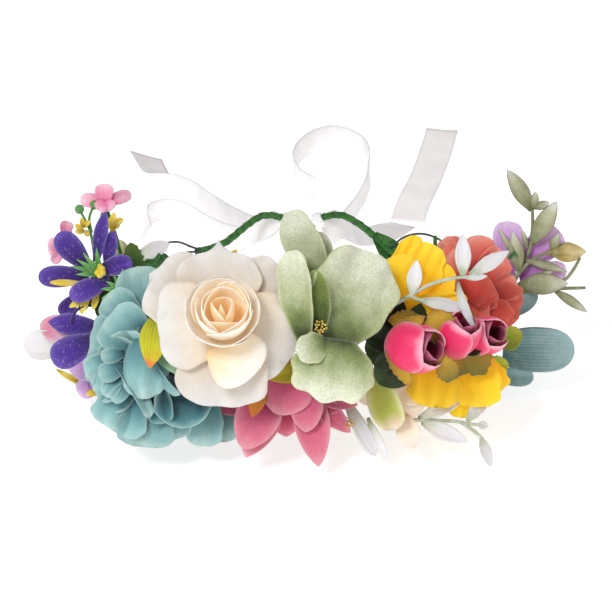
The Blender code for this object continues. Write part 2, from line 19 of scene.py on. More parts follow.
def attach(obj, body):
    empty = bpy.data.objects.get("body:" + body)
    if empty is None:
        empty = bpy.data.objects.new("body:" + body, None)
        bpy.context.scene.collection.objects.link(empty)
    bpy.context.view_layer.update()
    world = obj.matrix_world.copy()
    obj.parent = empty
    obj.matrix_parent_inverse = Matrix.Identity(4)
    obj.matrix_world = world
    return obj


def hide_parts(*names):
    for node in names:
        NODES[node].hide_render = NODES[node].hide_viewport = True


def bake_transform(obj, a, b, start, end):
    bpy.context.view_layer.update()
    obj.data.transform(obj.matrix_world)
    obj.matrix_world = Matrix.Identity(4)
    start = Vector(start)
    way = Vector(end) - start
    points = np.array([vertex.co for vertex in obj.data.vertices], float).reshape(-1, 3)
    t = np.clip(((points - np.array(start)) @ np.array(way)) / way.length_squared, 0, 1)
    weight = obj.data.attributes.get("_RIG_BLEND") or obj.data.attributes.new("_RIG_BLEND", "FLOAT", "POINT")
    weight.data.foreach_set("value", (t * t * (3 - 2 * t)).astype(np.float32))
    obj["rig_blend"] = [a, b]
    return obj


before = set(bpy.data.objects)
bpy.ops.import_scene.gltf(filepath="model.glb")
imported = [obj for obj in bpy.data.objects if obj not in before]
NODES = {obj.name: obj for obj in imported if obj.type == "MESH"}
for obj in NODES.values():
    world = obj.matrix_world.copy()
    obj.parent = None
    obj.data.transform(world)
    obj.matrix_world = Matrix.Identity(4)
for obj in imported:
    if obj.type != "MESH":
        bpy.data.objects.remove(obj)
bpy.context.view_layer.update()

MM = 0.001

# %% [markdown]
# ## Small tools
#
# Colours are written as display hex values, which is how a swatch card gives them, and one
# function turns them into the linear light that a shader adds up. Another adds a shader node with
# its settings and links, so that a material reads as a short list of what it is made of.

# %% Hex colours


def light(code):
    """A hex colour as linear red, green, blue and alpha."""
    channels = [int(code[i : i + 2], 16) / 255 for i in (0, 2, 4)]
    return [c / 12.92 if c <= 0.04045 else ((c + 0.055) / 1.055) ** 2.4 for c in channels] + [1.0]


print("half grey on a screen is", round(light("808080")[0], 2), "in linear light")

# %% Shader nodes


def add(tree, kind, inputs=None, stops=(), **settings):
    """A shader node; an input is a value or another node's output, and stops are a ramp's."""
    made = tree.nodes.new(kind)
    for key, value in settings.items():
        setattr(made, key, value)
    for key, value in (inputs or {}).items():
        if isinstance(value, bpy.types.NodeSocket):
            tree.links.new(value, made.inputs[key])
        else:
            made.inputs[key].default_value = value
    while stops and len(made.color_ramp.elements) < len(stops):
        made.color_ramp.elements.new(0.5)
    for i, (place, code) in enumerate(stops):
        made.color_ramp.elements[i].position = place
        made.color_ramp.elements[i].color = (
            light(code) if isinstance(code, str) else (code, code, code, 1))
    return made


def new_material(name):
    """An empty node material and its tree."""
    made = bpy.data.materials.new(name)
    made.use_nodes = True
    made.node_tree.nodes.clear()
    return made, made.node_tree


def finish_material(tree, shader):
    """Joins a shader to the material's output."""
    output = add(tree, "ShaderNodeOutputMaterial")
    tree.links.new(shader.outputs[0], output.inputs["Surface"])


# a petal carries its own measures: how far along it a point is, how far across, and one shade for
# the whole petal, because no two are dyed alike
MARKS = ("along", "across", "shade")
print("marks that a material can read:", *MARKS)

# %% Steps that several finishes share


def read(tree, *marks):
    """Where a point is, and the marks asked for."""
    return [add(tree, "ShaderNodeTexCoord").outputs["Object"],
            *(add(tree, "ShaderNodeAttribute", attribute_name=m).outputs["Fac"] for m in marks)]


def dyed(tree, along, stops, noise, drift):
    """Colour from base to tip, with boundaries that wander by a share of the petal's length."""
    moved = add(tree, "ShaderNodeMath", {0: noise, 1: drift, 2: along},
                operation="MULTIPLY_ADD").outputs[0]
    moved = add(tree, "ShaderNodeMath", {0: moved, 1: drift / 2}, operation="SUBTRACT").outputs[0]
    return add(tree, "ShaderNodeValToRGB", {"Fac": moved}, stops=stops).outputs["Color"]


def rimmed(tree, colour, rim, power, amount, across, along=None):
    """The colour with another at its side edges, and at its tip where along is given."""
    edge = add(tree, "ShaderNodeMath", {0: across, 1: power}, operation="POWER").outputs[0]
    if along:
        far = add(tree, "ShaderNodeMath", {0: along, 1: power * 2.5}, operation="POWER").outputs[0]
        edge = add(tree, "ShaderNodeMath", {0: edge, 1: far}, operation="MAXIMUM").outputs[0]
    edge = add(tree, "ShaderNodeMath", {0: edge, 1: amount}, operation="MULTIPLY").outputs[0]
    return add(tree, "ShaderNodeMix", {0: edge, 6: colour, 7: light(rim)},
               data_type="RGBA").outputs[2]


def darkened(tree, colour, *greys):
    """The colour times each grey, a grey being what drives it and its ramp's stops."""
    for factor, stops in greys:
        grey = add(tree, "ShaderNodeValToRGB", {"Fac": factor}, stops=stops).outputs["Color"]
        colour = add(tree, "ShaderNodeMix", {0: 1.0, 6: colour, 7: grey}, data_type="RGBA",
                     blend_type="MULTIPLY").outputs[2]
    return colour


print("shared steps: marks, dye, rim, shade")

# %% [markdown]
# ## Petal cloth
#
# The petals of made flowers are stamped from woven polyester, dyed with a brush while they are
# flat, then pressed over a hot ball so that they keep a cup. That leaves three things to see: a
# colour that runs from the base to the rim, faint pressed veins, and a fine weave that takes the
# shine off. A noise could stand for all of it, but then the dye would not follow the petal, so
# the dye and the veins are driven by the petal's own measures.

# %% Petal cloth
THREAD_MM = 0.9  # threads are about 0.3 mm apart; they are drawn three times as coarse, to show
VEINS = 26.0  # how far the vein wave runs from a petal's middle to its edge, in radians


def petal_cloth(name, stops, rim=None, rim_amount=0.5, shade=0.12, vein=0.25, roughness=0.72,
                sheen=0.25, glow=0.12, mottle=0.06, rim_power=4.0, through=0.0):
    """Woven, dyed cloth; stops run from base to tip, and rim is the colour of its edge.

    through is painted glow: the cloth emits its second dye colour, which stands in for light that comes
    through thin cloth from behind."""
    made, tree = new_material(name)
    place, along, across, own = read(tree, *MARKS)
    drift, uneven = (
        add(tree, "ShaderNodeTexNoise",
            {"Vector": place, "Scale": scale, "Detail": detail}).outputs["Fac"]
        for scale, detail in ((160.0, 3.0), (320.0, 5.0)))
    colour = dyed(tree, along, stops, drift, 0.25)
    if rim:
        colour = rimmed(tree, colour, rim, rim_power, rim_amount, across, along)
    colour = darkened(tree, colour, (uneven, [(0.3, 1 - mottle), (0.7, 1.0)]),
                      (own, [(0.0, 1 - shade), (1.0, 1.0)]))
    # pressed veins fan out from the base: lines of equal angle across the petal
    fan = add(tree, "ShaderNodeMath", {0: across, 1: VEINS}, operation="MULTIPLY").outputs[0]
    wander = add(tree, "ShaderNodeMath", {0: drift, 1: 3.0, 2: fan},
                 operation="MULTIPLY_ADD").outputs[0]
    lines = add(tree, "ShaderNodeMath", {0: wander}, operation="SINE").outputs[0]
    threads = add(tree, "ShaderNodeTexVoronoi",
                  {"Vector": place, "Scale": 1000.0 / THREAD_MM, "Randomness": 0.4})
    grain = add(tree, "ShaderNodeMath", {0: lines, 1: vein, 2: threads.outputs["Distance"]},
                operation="MULTIPLY_ADD").outputs[0]
    bump = add(tree, "ShaderNodeBump", {"Height": grain, "Strength": 0.35, "Distance": 0.25 * MM})
    # through adds a painted glow, an emission in the cloth's second dye colour
    finish_material(tree, add(tree, "ShaderNodeBsdfPrincipled", {
        "Base Color": colour, "Roughness": roughness, "IOR": 1.5,
        "Sheen Weight": sheen, "Sheen Roughness": 0.4,
        "Subsurface Weight": glow, "Subsurface Scale": 1.5 * MM,
        "Subsurface Radius": (1.0, 0.7, 0.5), "Normal": bump.outputs["Normal"],
        "Emission Color": light(stops[1][1]), "Emission Strength": through}))
    return made


print("petal cloth, threads drawn", THREAD_MM, "mm apart")

# %% [markdown]
# ## Flocked velvet
#
# The sage and the violet petals have a pile: short fibres stand up from the cloth, so a petal
# looks powdery and pale where it turns away and deep where it faces you. Hair would be the true
# way and far too heavy. Sheen and a painted sheen, a paler colour at each petal's side edges, give
# the pale edge, and a fine grain gives the powder.

# %% Flocked velvet


def flocked(name, stops, rim, rim_power=6.0, grain_mm=0.8, sheen=0.35, worn=0.0):
    """Cloth with a short pile; worn is how much white cloth shows where it has gone."""
    made, tree = new_material(name)
    place, along, across, own = read(tree, *MARKS)
    patch = add(tree, "ShaderNodeTexNoise", {"Vector": place, "Scale": 120.0, "Detail": 4.0})
    colour = dyed(tree, along, stops, patch.outputs["Fac"], 0.5)
    # painted sheen: a paler colour at the side edges, where the pile turns away
    colour = rimmed(tree, colour, rim, rim_power, 0.6, across)
    # the pile is finer than half a millimetre; its powder is drawn twice as coarse, to show
    powder = add(tree, "ShaderNodeTexNoise",
                 {"Vector": place, "Scale": 1000.0 / grain_mm, "Detail": 2.0}).outputs["Fac"]
    colour = darkened(tree, colour, (powder, [(0.35, 0.78), (0.65, 1.0)]),
                      (own, [(0.0, 0.82), (1.0, 1.0)]))
    if worn:
        rubbed = add(tree, "ShaderNodeTexNoise",
                     {"Vector": place, "Scale": 750.0, "Detail": 6.0, "Distortion": 1.0})
        bare = add(tree, "ShaderNodeValToRGB", {"Fac": rubbed.outputs["Fac"]},
                   stops=[(0.58, 0.0), (0.72, worn)])
        colour = add(tree, "ShaderNodeMix",
                     {0: bare.outputs["Color"], 6: colour, 7: light("DCD6F0")},
                     data_type="RGBA").outputs[2]
    bump = add(tree, "ShaderNodeBump", {"Height": powder, "Strength": 0.5, "Distance": 0.4 * MM})
    finish_material(tree, add(tree, "ShaderNodeBsdfPrincipled", {
        "Base Color": colour, "Roughness": 0.9, "IOR": 1.45, "Sheen Weight": sheen,
        "Sheen Roughness": 0.5, "Normal": bump.outputs["Normal"]}))
    return made


print("velvet, with a powdery grain")

# %% [markdown]
# ## Satin, tape and moulded leaves
#
# Satin is woven so that long threads lie on its face, which makes it gloss along its length.
# Floral tape is crepe paper soaked in wax: it is matt, creased across and blotchy. The thin leaves
# are moulded polyethylene, sprayed with a frosted coat that leaves them a little translucent.

# %% Satin
WARP = 70.0  # how far the thread wave runs from a ribbon's middle to its edge, in radians


def satin(name, code, shadow, through=0.0):
    """White satin ribbon; through is painted glow, an emission in its own colour that stands in for light
    from a bright surface underneath.
    """
    made, tree = new_material(name)
    place, across = read(tree, "across")
    soft = add(tree, "ShaderNodeTexNoise", {"Vector": place, "Scale": 60.0, "Detail": 2.0})
    colour = add(tree, "ShaderNodeValToRGB", {"Fac": soft.outputs["Fac"]},
                 stops=[(0.3, shadow), (0.7, code)]).outputs["Color"]
    # warp threads run the length of the ribbon; they are drawn four times too coarse, to show
    warp = add(tree, "ShaderNodeMath", {0: across, 1: WARP}, operation="MULTIPLY").outputs[0]
    warp = add(tree, "ShaderNodeMath", {0: warp}, operation="SINE").outputs[0]
    bump = add(tree, "ShaderNodeBump", {"Height": warp, "Strength": 0.12, "Distance": 0.1 * MM})
    # through adds a painted glow in the satin's own colour
    finish_material(tree, add(tree, "ShaderNodeBsdfPrincipled", {
        "Base Color": colour, "Roughness": 0.38, "IOR": 1.5, "Anisotropic": 0.5,
        "Sheen Weight": 0.2, "Subsurface Weight": 0.1, "Subsurface Scale": 1.0 * MM,
        "Normal": bump.outputs["Normal"],
        "Emission Color": light(code), "Emission Strength": through}))
    return made


print("satin threads across a ribbon:", round(WARP / math.pi))

# %% Waxed crepe tape
CREASE_MM = 0.6  # how far apart the creases are


def crepe_tape(name, dark, pale):
    """Green floral tape: waxed crepe paper."""
    made, tree = new_material(name)
    (place,) = read(tree)
    blotch = add(tree, "ShaderNodeTexNoise",
                 {"Vector": place, "Scale": 350.0, "Detail": 6.0, "Roughness": 0.65})
    colour = add(tree, "ShaderNodeValToRGB", {"Fac": blotch.outputs["Fac"]},
                 stops=[(0.35, dark), (0.62, pale)]).outputs["Color"]
    creases = add(tree, "ShaderNodeTexNoise",
                  {"Vector": place, "Scale": 1700.0, "Detail": 3.0}).outputs["Fac"]
    bump = add(tree, "ShaderNodeBump", {"Height": creases, "Strength": 0.8, "Distance": 0.3 * MM})
    finish_material(tree, add(tree, "ShaderNodeBsdfPrincipled", {
        "Base Color": colour, "Roughness": 0.62, "IOR": 1.45, "Normal": bump.outputs["Normal"]}))
    return made


print("crepe tape, creases about", CREASE_MM, "mm apart")

# %% Moulded leaf


def moulded(name, stops, rim=None, rib=10.0, rib_depth=0.5, roughness=0.5, frost=0.15, glow=0.1):
    """Moulded plastic with ribs that run along the leaf and a frosted coat."""
    made, tree = new_material(name)
    place, along, across, own = read(tree, *MARKS)
    cloud = add(tree, "ShaderNodeTexNoise",
                {"Vector": place, "Scale": 250.0, "Detail": 5.0}).outputs["Fac"]
    colour = dyed(tree, along, stops, cloud, 0.4)
    coat = add(tree, "ShaderNodeValToRGB", {"Fac": cloud}, stops=[(0.45, 0.0), (0.75, frost)])
    colour = add(tree, "ShaderNodeMix", {0: coat.outputs["Color"], 6: colour, 7: light("F4F6F2")},
                 data_type="RGBA").outputs[2]
    if rim:
        colour = rimmed(tree, colour, rim, 5.0, 0.7, across)
    colour = darkened(tree, colour, (own, [(0.0, 0.8), (1.0, 1.0)]))
    ribs = add(tree, "ShaderNodeMath", {0: across, 1: rib}, operation="MULTIPLY").outputs[0]
    ribs = add(tree, "ShaderNodeMath", {0: ribs}, operation="SINE").outputs[0]
    height = add(tree, "ShaderNodeMath", {0: ribs, 1: rib_depth, 2: cloud},
                 operation="MULTIPLY_ADD").outputs[0]
    bump = add(tree, "ShaderNodeBump", {"Height": height, "Strength": 0.45, "Distance": 0.3 * MM})
    finish_material(tree, add(tree, "ShaderNodeBsdfPrincipled", {
        "Base Color": colour, "Roughness": roughness, "IOR": 1.5, "Subsurface Weight": glow,
        "Subsurface Scale": 1.0 * MM, "Normal": bump.outputs["Normal"]}))
    return made


print("moulded leaf, with ribs and frost")

# %% [markdown]
# ## Where each flower sits
#
# A layer of petals in the frame is a shallow dish. Its flattest direction is the way the flower
# looks, and the mean of its points is its middle, so the seat of every flower can be read from
# the frame and nothing has to be fitted by eye.

# %% Seats


@functools.cache
def seat(node):
    """Middle, side, top, facing and radius of the dish that a CAD node holds."""
    points = np.array([v.co for v in NODES[node].data.vertices])
    middle = points.mean(axis=0)
    _, _, ways = np.linalg.svd(points - middle)
    ahead = Vector(ways[2]).normalized()
    # a flower looks outwards from the ring, forwards and a little up
    if ahead.dot(Vector((middle[0] * 6, middle[1] * 6 - 0.6, 0.25))) < 0:
        ahead = -ahead
    side = Vector((0, 0, 1)).cross(ahead).normalized()
    reach = float(np.sort(np.linalg.norm(points - middle, axis=1))[-4:].mean())
    return {"middle": Vector(middle), "side": side, "top": ahead.cross(side), "ahead": ahead,
            "radius": reach}


for node in ("rose_outer_petals", "peony_outer_petals"):
    print(node, "middle, mm:", [round(x / MM) for x in seat(node)["middle"]])

# %% [markdown]
# ## One petal
#
# A petal is a small grid of cloth. Its width follows an outline, its spine leans from the flower's
# axis by an angle that changes from base to tip, and its face may be cupped, creased, wrapped
# round the axis, ruffled at the rim or rolled back. Leaves are petals too: they lie flat, lean
# ninety degrees and have a crease. Making all of them with one function keeps them kin.

# %% The outline and the spine
PETAL_DEFAULTS = {
    "start": (0.0, 0.0), "lean": (80.0, 60.0), "bend": 1.0, "wrap": 0.0, "cup": 0.15,
    "crease": 0.0, "curl": 0.0, "ruffle": 0.0, "waves": 3.0, "neck": 0.35, "fullest": 0.6,
    "point": 2.0, "blunt": 2.0, "twist": 0.0, "notch": 0.0, "teeth": 0.0, "scallop": 0.0,
}
SPINE_STEPS = 40


def outline_width(t, neck, fullest, point, blunt):
    """Half width of a petal at t along it, as a share of its widest."""
    if t < fullest:
        rise = t / fullest
        return neck + (1 - neck) * math.sin(rise * math.pi / 2) ** 1.2
    fall = (t - fullest) / (1 - fullest)
    return max(1 - fall**point, 0.0) ** (1 / blunt)


def petal_spine(length, start, lean, bend):
    """Distance out, height and lean at even steps along a petal."""
    spine = [(*start, math.radians(lean[0]))]
    for i in range(SPINE_STEPS):
        share = ((i + 0.5) / SPINE_STEPS) ** bend
        here = math.radians(lean[0] + (lean[1] - lean[0]) * share)
        r, z, _ = spine[-1]
        spine.append((r + math.sin(here) * length / SPINE_STEPS,
                      z + math.cos(here) * length / SPINE_STEPS, here))
    return spine


print("half widths:", [round(outline_width(t / 4, 0.35, 0.6, 2.0, 2.0), 2) for t in range(5)])

# %% Cloth on the spine
FLOOR_GAP = 0.3 * MM


def write_marks(bm, marked):
    """Stores (vertex, its three marks) pairs where the materials read them."""
    layers = [bm.verts.layers.float[name] for name in MARKS]
    for vert, marks in marked:
        for layer, value in zip(layers, marks):
            vert[layer] = value


def lifted(p, width, t, far, phase):
    """How far the cloth stands up from its spine at t along and far across."""
    lift = (p["cup"] * far * far + p["crease"] * abs(far) / 2) * width
    lift -= p["curl"] * width * (t**4 * 0.8 + abs(far) ** 3 * t * 0.5)
    wave = math.sin(far * p["waves"] * math.pi + phase)
    return lift + p["ruffle"] * width * t * t * wave * (0.35 + 0.65 * abs(far))


def add_petal(bm, origin, out, ahead, length, width, grid, shade, phase, **shape):
    """Adds one petal that springs from origin, spreads along out, and looks along ahead."""
    p = {**PETAL_DEFAULTS, **shape}
    made = bmesh.ops.create_grid(bm, x_segments=grid[0], y_segments=grid[1], size=1.0)["verts"]
    sideways = ahead.cross(out).normalized()
    spine = petal_spine(length, p["start"], p["lean"], p["bend"])
    marked = []
    for vert in made:
        s = vert.co.x
        t = 1 - (1 - (vert.co.y + 1) / 2) ** 1.5  # rows are closer together near the tip
        half = outline_width(t, p["neck"], p["fullest"], p["point"], p["blunt"]) * width / 2
        half *= 1 - p["teeth"] * (0.5 + 0.5 * math.cos(t * 40)) * abs(s)
        half *= 1 + p["scallop"] * math.sin(t * 17 + phase + 1.5 * s) * (1 - (1 - t) ** 3)
        exact = (t - p["notch"] * t**6 * (1 - abs(s)) ** 2 * 0.5) * SPINE_STEPS
        low = min(int(exact), SPINE_STEPS - 1)
        share = exact - low
        r, z = (spine[low][k] * (1 - share) + spine[low + 1][k] * share for k in (0, 1))
        lean = spine[low + 1][2]
        lift = lifted(p, width, t, s * half / (width / 2), phase)
        r -= math.cos(lean) * lift
        z += math.sin(lean) * lift
        aside = s * half
        turn = p["wrap"] * aside / max(abs(r), width * 0.28) + p["twist"] * t
        level = out * math.cos(turn) + sideways * math.sin(turn)
        tangent = sideways * math.cos(turn) - out * math.sin(turn)
        vert.co = origin + level * r + tangent * aside * (1 - p["wrap"]) + ahead * z
        vert.co.z = max(vert.co.z, FLOOR_GAP)
        marked.append((vert, (t, abs(s), shade)))
    write_marks(bm, marked)


print("a petal may be changed in", len(PETAL_DEFAULTS), "ways")

# %% [markdown]
# ## From petals to a piece
#
# Real petals of one flower are strung on one stem, so each layer is one piece here. A Solidify
# gives the cloth its thickness, a third of a millimetre, which closes every petal into a thin
# shell whose faces look outwards.

# %% Start and end a piece
CLOTH_THICK = 0.32 * MM
LEAF_THICK = 0.4 * MM
VELVET_THICK = 0.5 * MM
PLASTIC_THICK = 0.6 * MM


def start_piece():
    """A bmesh with the three marks that materials read."""
    bm = bmesh.new()
    for name in MARKS:
        bm.verts.layers.float.new(name)
    return bm


def end_piece(bm, name, material, body="crown", thickness=CLOTH_THICK, replaces=()):
    """Turns a bmesh into a piece that rides on a body, or on none when it is blended later."""
    bmesh.ops.remove_doubles(bm, verts=bm.verts, dist=0.004 * MM)
    bmesh.ops.recalc_face_normals(bm, faces=bm.faces)
    mesh = bpy.data.meshes.new(name)
    bm.to_mesh(mesh)
    bm.free()
    for polygon in mesh.polygons:
        polygon.use_smooth = True
    made = bpy.data.objects.new(name, mesh)
    bpy.context.scene.collection.objects.link(made)
    made.data.materials.append(material)
    if thickness:
        skin = made.modifiers.new("cloth thickness", "SOLIDIFY")
        skin.thickness = thickness
        skin.offset = 0.0
    if body:
        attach(made, body)
    if replaces:
        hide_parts(*replaces)
    print(f"{name}: {len(mesh.polygons)} faces of {material.name}")
    return made


print("cloth", CLOTH_THICK / MM, "mm, velvet", VELVET_THICK / MM, "mm")

# %% Rows of petals round an axis


def petal_row(bm, place, azimuths, length, width, grid, jitter, seed, depth=0.0, **shape):
    """A row of petals at azimuths from the flower's side; each differs a little from the next."""
    chance = random.Random(seed)
    origin = place["middle"] + place["ahead"] * depth
    for azimuth in azimuths:
        long = length * (1 + jitter * chance.uniform(-1, 1))
        wide = width * (1 + jitter * chance.uniform(-1, 1))
        way = math.radians(azimuth + 60 * jitter * chance.uniform(-1, 1))
        out = place["side"] * math.cos(way) + place["top"] * math.sin(way)
        tilt = 60 * jitter * chance.uniform(-1, 1)
        own = {**shape, "lean": tuple(a + tilt for a in shape["lean"])}
        add_petal(bm, origin, out, place["ahead"], long, wide, grid, chance.random(),
                  chance.uniform(0, 6.28), **own)


def evenly(count, first=0.0):
    """Azimuths that share a turn."""
    return [first + 360 / count * i for i in range(count)]


def tilted(place, degrees):
    """The same seat, with its face turned up."""
    turn = Matrix.Rotation(math.radians(-degrees), 3, place["side"])
    return {**place, "ahead": turn @ place["ahead"], "top": turn @ place["top"]}


print("six petals stand at", evenly(6, 20))

# %% [markdown]
# ## Petals laid one by one
#
# A made flower is not even: petals are wired on by hand and bent to fill the gaps. So the petals
# that show from the front are given one at a time, by where each is rooted and where its tip is,
# in millimetres to the right of, above and in front of the middle of the part that it belongs to.

# %% Lay petals
VIEW_TILT = math.radians(28)  # the flowers are arranged to be seen from a little above
SIDE = Vector((1, 0, 0))
AHEAD = Vector((0, -math.cos(VIEW_TILT), math.sin(VIEW_TILT)))
TOP = AHEAD.cross(SIDE)


def spot(node, right, up, forward):
    """A point given in millimetres from a CAD node's middle, as seen from the front."""
    return seat(node)["middle"] + (SIDE * right + TOP * up + AHEAD * forward) * MM


def facing(out):
    """The way a petal that grows along out must look to be seen from the front."""
    return (AHEAD - out * AHEAD.dot(out)).normalized()


def lay_petals(bm, node, rows, grid, seed, **common):
    """Adds petals from rows of root, tip, width and, where one differs, its own shape."""
    chance = random.Random(seed)
    for root, tip, width, *extra in rows:
        shape = {**common, **(extra[0] if extra else {})}
        bow = math.radians(shape.pop("bow", 10)) or 0.001
        roll = math.radians(shape.pop("roll", 0))
        start, end = spot(node, *root), spot(node, *tip)
        out = (end - start).normalized()
        face = facing(out)
        face.rotate(Matrix.Rotation(roll, 3, out))
        shape["lean"] = (90 - math.degrees(bow), 90 + math.degrees(bow))
        add_petal(bm, start, out, face, (end - start).length * bow / math.sin(bow), width * MM,
                  grid, chance.random(), chance.uniform(0, 6.28), **shape)


def petal_piece(name, cloth, slot, node, rows, grid, seed, replaces=(), thickness=CLOTH_THICK,
                **shape):
    """One piece made of laid petals alone."""
    bm = start_piece()
    lay_petals(bm, node, rows, grid, seed, **shape)
    return end_piece(bm, name, cloth, thickness=thickness, replaces=replaces)


print("petals face up by", round(math.degrees(VIEW_TILT)), "degrees")

# %% [markdown]
# ## Stems and balls
#
# A stem is a round section drawn along a smooth curve. Extruding one face again and again keeps
# it a single closed tube, where separate cylinders would show their joints at every bend.

# %% A smooth route and a stem


def smooth_route(points, per_span=4):
    """Points along one smooth curve through the points given (Catmull-Rom)."""
    ends = [points[0] * 2 - points[1], *points, points[-1] * 2 - points[-2]]
    route = []
    for a, b, c, d in zip(ends, ends[1:], ends[2:], ends[3:]):
        for i in range(per_span):
            t = i / per_span
            route.append((b * 2 + (c - a) * t + (a * 2 - b * 5 + c * 4 - d) * t**2
                          + (b * 3 - a - c * 3 + d) * t**3) / 2)
    return [*route, points[-1]]


def add_stem(bm, points, thick, thin=None, sides=8, per_span=4, along=0.0):
    """Adds a round stem through points, given in metres; its radii are in millimetres."""
    route = smooth_route(points, per_span)
    last = len(route) - 1
    thin = thick if thin is None else thin
    ways = [(route[min(i + 1, last)] - route[max(i - 1, 0)]).normalized() for i in range(last + 1)]
    turn = ways[0].to_track_quat("Z", "Y")
    before = set(bm.verts)
    placed = face = None
    for i, here in enumerate(route):
        if i:
            turn = ways[i - 1].rotation_difference(ways[i]) @ turn
        radius = (thick + (thin - thick) * i / last) * MM
        matrix = (Matrix.Translation(here) @ turn.to_matrix().to_4x4()
                  @ Matrix.Scale(radius, 4))
        if face is None:
            made = bmesh.ops.create_circle(bm, cap_ends=True, radius=1, segments=sides,
                                           matrix=matrix)["verts"]
            face = made[0].link_faces[0]
        else:
            grown = bmesh.ops.extrude_face_region(bm, geom=[face])["geom"]
            verts = [g for g in grown if isinstance(g, bmesh.types.BMVert)]
            bmesh.ops.transform(bm, verts=verts, matrix=matrix @ placed.inverted())
            if i > 1:
                bmesh.ops.delete(bm, geom=[face], context="FACES_ONLY")
            face = next(g for g in grown if isinstance(g, bmesh.types.BMFace))
        placed = matrix
    new = set(bm.verts) - before
    for vert in new:
        vert.co.z = max(vert.co.z, FLOOR_GAP)
    write_marks(bm, [(vert, (along, 0.0, 0.6)) for vert in new])


test_route = smooth_route([Vector((0, 0, 0)), Vector((1, 0, 0)), Vector((1, 1, 0))])
print("a smooth route through 3 points has", len(test_route))

# %% A ball


def add_ball(bm, centre, radius, along=0.8, detail=2):
    """Adds a small ball, such as a bud or a stamen's head; its radius is in millimetres."""
    made = bmesh.ops.create_icosphere(bm, subdivisions=detail, radius=radius * MM)["verts"]
    for vert in made:
        vert.co += centre
    write_marks(bm, [(vert, (along, 0.2, 0.7)) for vert in made])


print("balls and stems have the same marks as petals")

# %% [markdown]
# ## The cream rose
#
# A rose opens in stages: wide outer petals that roll back to a soft point, then a cup of petals
# that wrap one another, and in the cup a tight heart. The cup looks more upward than the outer
# petals do. Its cloth is brushed with peach at the root, and the cup and heart have a painted glow,
# a faint emission, so the heart glows and the rims are pale.

# %% Cream rose
# Cream cloth, brushed with peach at the root, gives wide petals that pale to the rim.
CREAM = petal_cloth("cream_polyester_cloth", [(0.0, "F3D2A8"), (0.35, "E4D3BE"), (0.75, "E2DAD2"),
    (1.0, "E3DFDC")], shade=0.07, glow=0.25, vein=0.12, sheen=0.35)
# Cream cloth with a peach foot, and a painted glow, a faint emission, that makes the cup glow from inside.
ROSE_CUP = petal_cloth("blushed_cream_polyester_cloth", [(0.0, "EEC592"), (0.4, "F3DDBE"),
    (0.75, "F4EADE"), (1.0, "F4EFEA")], through=0.08, shade=0.04, glow=0.4, vein=0.1, sheen=0.35)
# Thin peach cloth with a painted glow, a faint emission, keeps the folds in the heart warm.
CREAM_HEART = petal_cloth("peach_polyester_cloth", [(0.0, "F8D2A0"), (0.5, "FCE7CA"),
    (1.0, "FDF4E8")], through=0.12, shade=0.05, glow=0.5, vein=0.1)
# The deepest peach makes the middle of the rose look far in, and a painted glow keeps it bright.
PEACH_HEART = petal_cloth("deep_peach_polyester_cloth", [(0.0, "F6BA70"), (0.55, "FAD8A6"),
    (1.0, "FCEED4")], through=0.14, shade=0.08, glow=0.5, vein=0.1)

petal_piece("rose_open_petals", CREAM, "cream_silk", "rose_outer_petals",
    [((10, 4, -2), (30, 16, -1), 27, {"bow": -8}), ((-4, 1, -3), (-27, 15.5, -3), 33,
    {"bow": -6, "notch": -0.2, "blunt": 2.8, "point": 3.4}), ((1, 0, -1), (1, 26, 0), 37,
    {"bow": 4, "notch": -0.42, "blunt": 2.3, "fullest": 0.5}),
    ((3.5, -8, -1), (2, -42, -4), 40, {"bow": 22}), ((5, -2, 1), (34.5, -17, -2), 39,
    {"bow": 14, "blunt": 2.3, "fullest": 0.58, "cup": 0}), ((4, -4, 3), (-26, -7, -1), 38,
    {"bow": 20})], (22, 26), 3, replaces=("rose_outer_petals",), cup=0.05, curl=0.05, scallop=0.022,
    ruffle=0.03, neck=0.55, fullest=0.6, point=2.6, blunt=2.1)
bm = start_piece()
lay_petals(bm, "rose_outer_petals", [((1, -12, 7), (17, -28, 9), 27,
    {"bow": 30, "curl": 0.10, "cup": -0.1})], (16, 16), 5, neck=0.6, fullest=0.6, point=2.6,
    blunt=2.2)
rose = {"middle": spot("rose_outer_petals", 3.5, -6, 0), "side": SIDE, "top": TOP, "ahead": AHEAD}
rose_cup = tilted(rose, 24)
petal_row(bm, rose_cup, (75, 165, 250, 340), 21.5 * MM, 36 * MM, (20, 18), 0.04, 12,
    start=(4 * MM, 0), lean=(74, -2), bend=0.8, wrap=1.0, cup=0, curl=0.06, neck=0.8, fullest=0.6,
    point=3.2, blunt=2.4, scallop=0.03)
end_piece(bm, "rose_cup_petals", ROSE_CUP, replaces=("rose_middle_petals",))
bm = start_piece()
petal_row(bm, rose_cup, (35, 120, 215, 300), 22.5 * MM, 30 * MM, (18, 16), 0.05, 15,
    start=(3.2 * MM, 0), lean=(64, -12), bend=0.8, wrap=1.0, cup=0, curl=0.05, neck=0.8,
    fullest=0.6, point=3.0, blunt=2.4, scallop=0.03)
petal_row(bm, rose_cup, (85, 195, 320), 23 * MM, 25 * MM, (18, 16), 0.06, 17, start=(2.4 * MM, 0),
    lean=(55, -16), bend=0.8, wrap=0.8, cup=0, curl=0.05, neck=0.8, fullest=0.6, point=2.6,
    blunt=2.1, scallop=0.03)
end_piece(bm, "rose_inner_cup", CREAM_HEART, replaces=("rose_inner_petals",))
bm = start_piece()
for turn, (azimuths, long, wide, start, lean, wrap) in enumerate((
    ((30, 150, 262), 22.5, 20, 2.0, 42, 0.35), ((95, 215, 340), 21.8, 14, 1.4, 30, 0.3),
    ((40, 200), 20.5, 9, 0.8, 18, 0.5),
)):
    petal_row(bm, rose_cup, azimuths, long * MM, wide * MM, (14, 14), 0.10, 20 + turn,
        start=(start * MM, 0), lean=(lean, -14), wrap=wrap, cup=0, curl=0.04, neck=0.8, fullest=0.6,
        point=2.2, blunt=1.9)
end_piece(bm, "rose_rolled_heart", PEACH_HEART, replaces=("rose_heart",))
print("rose petals laid")
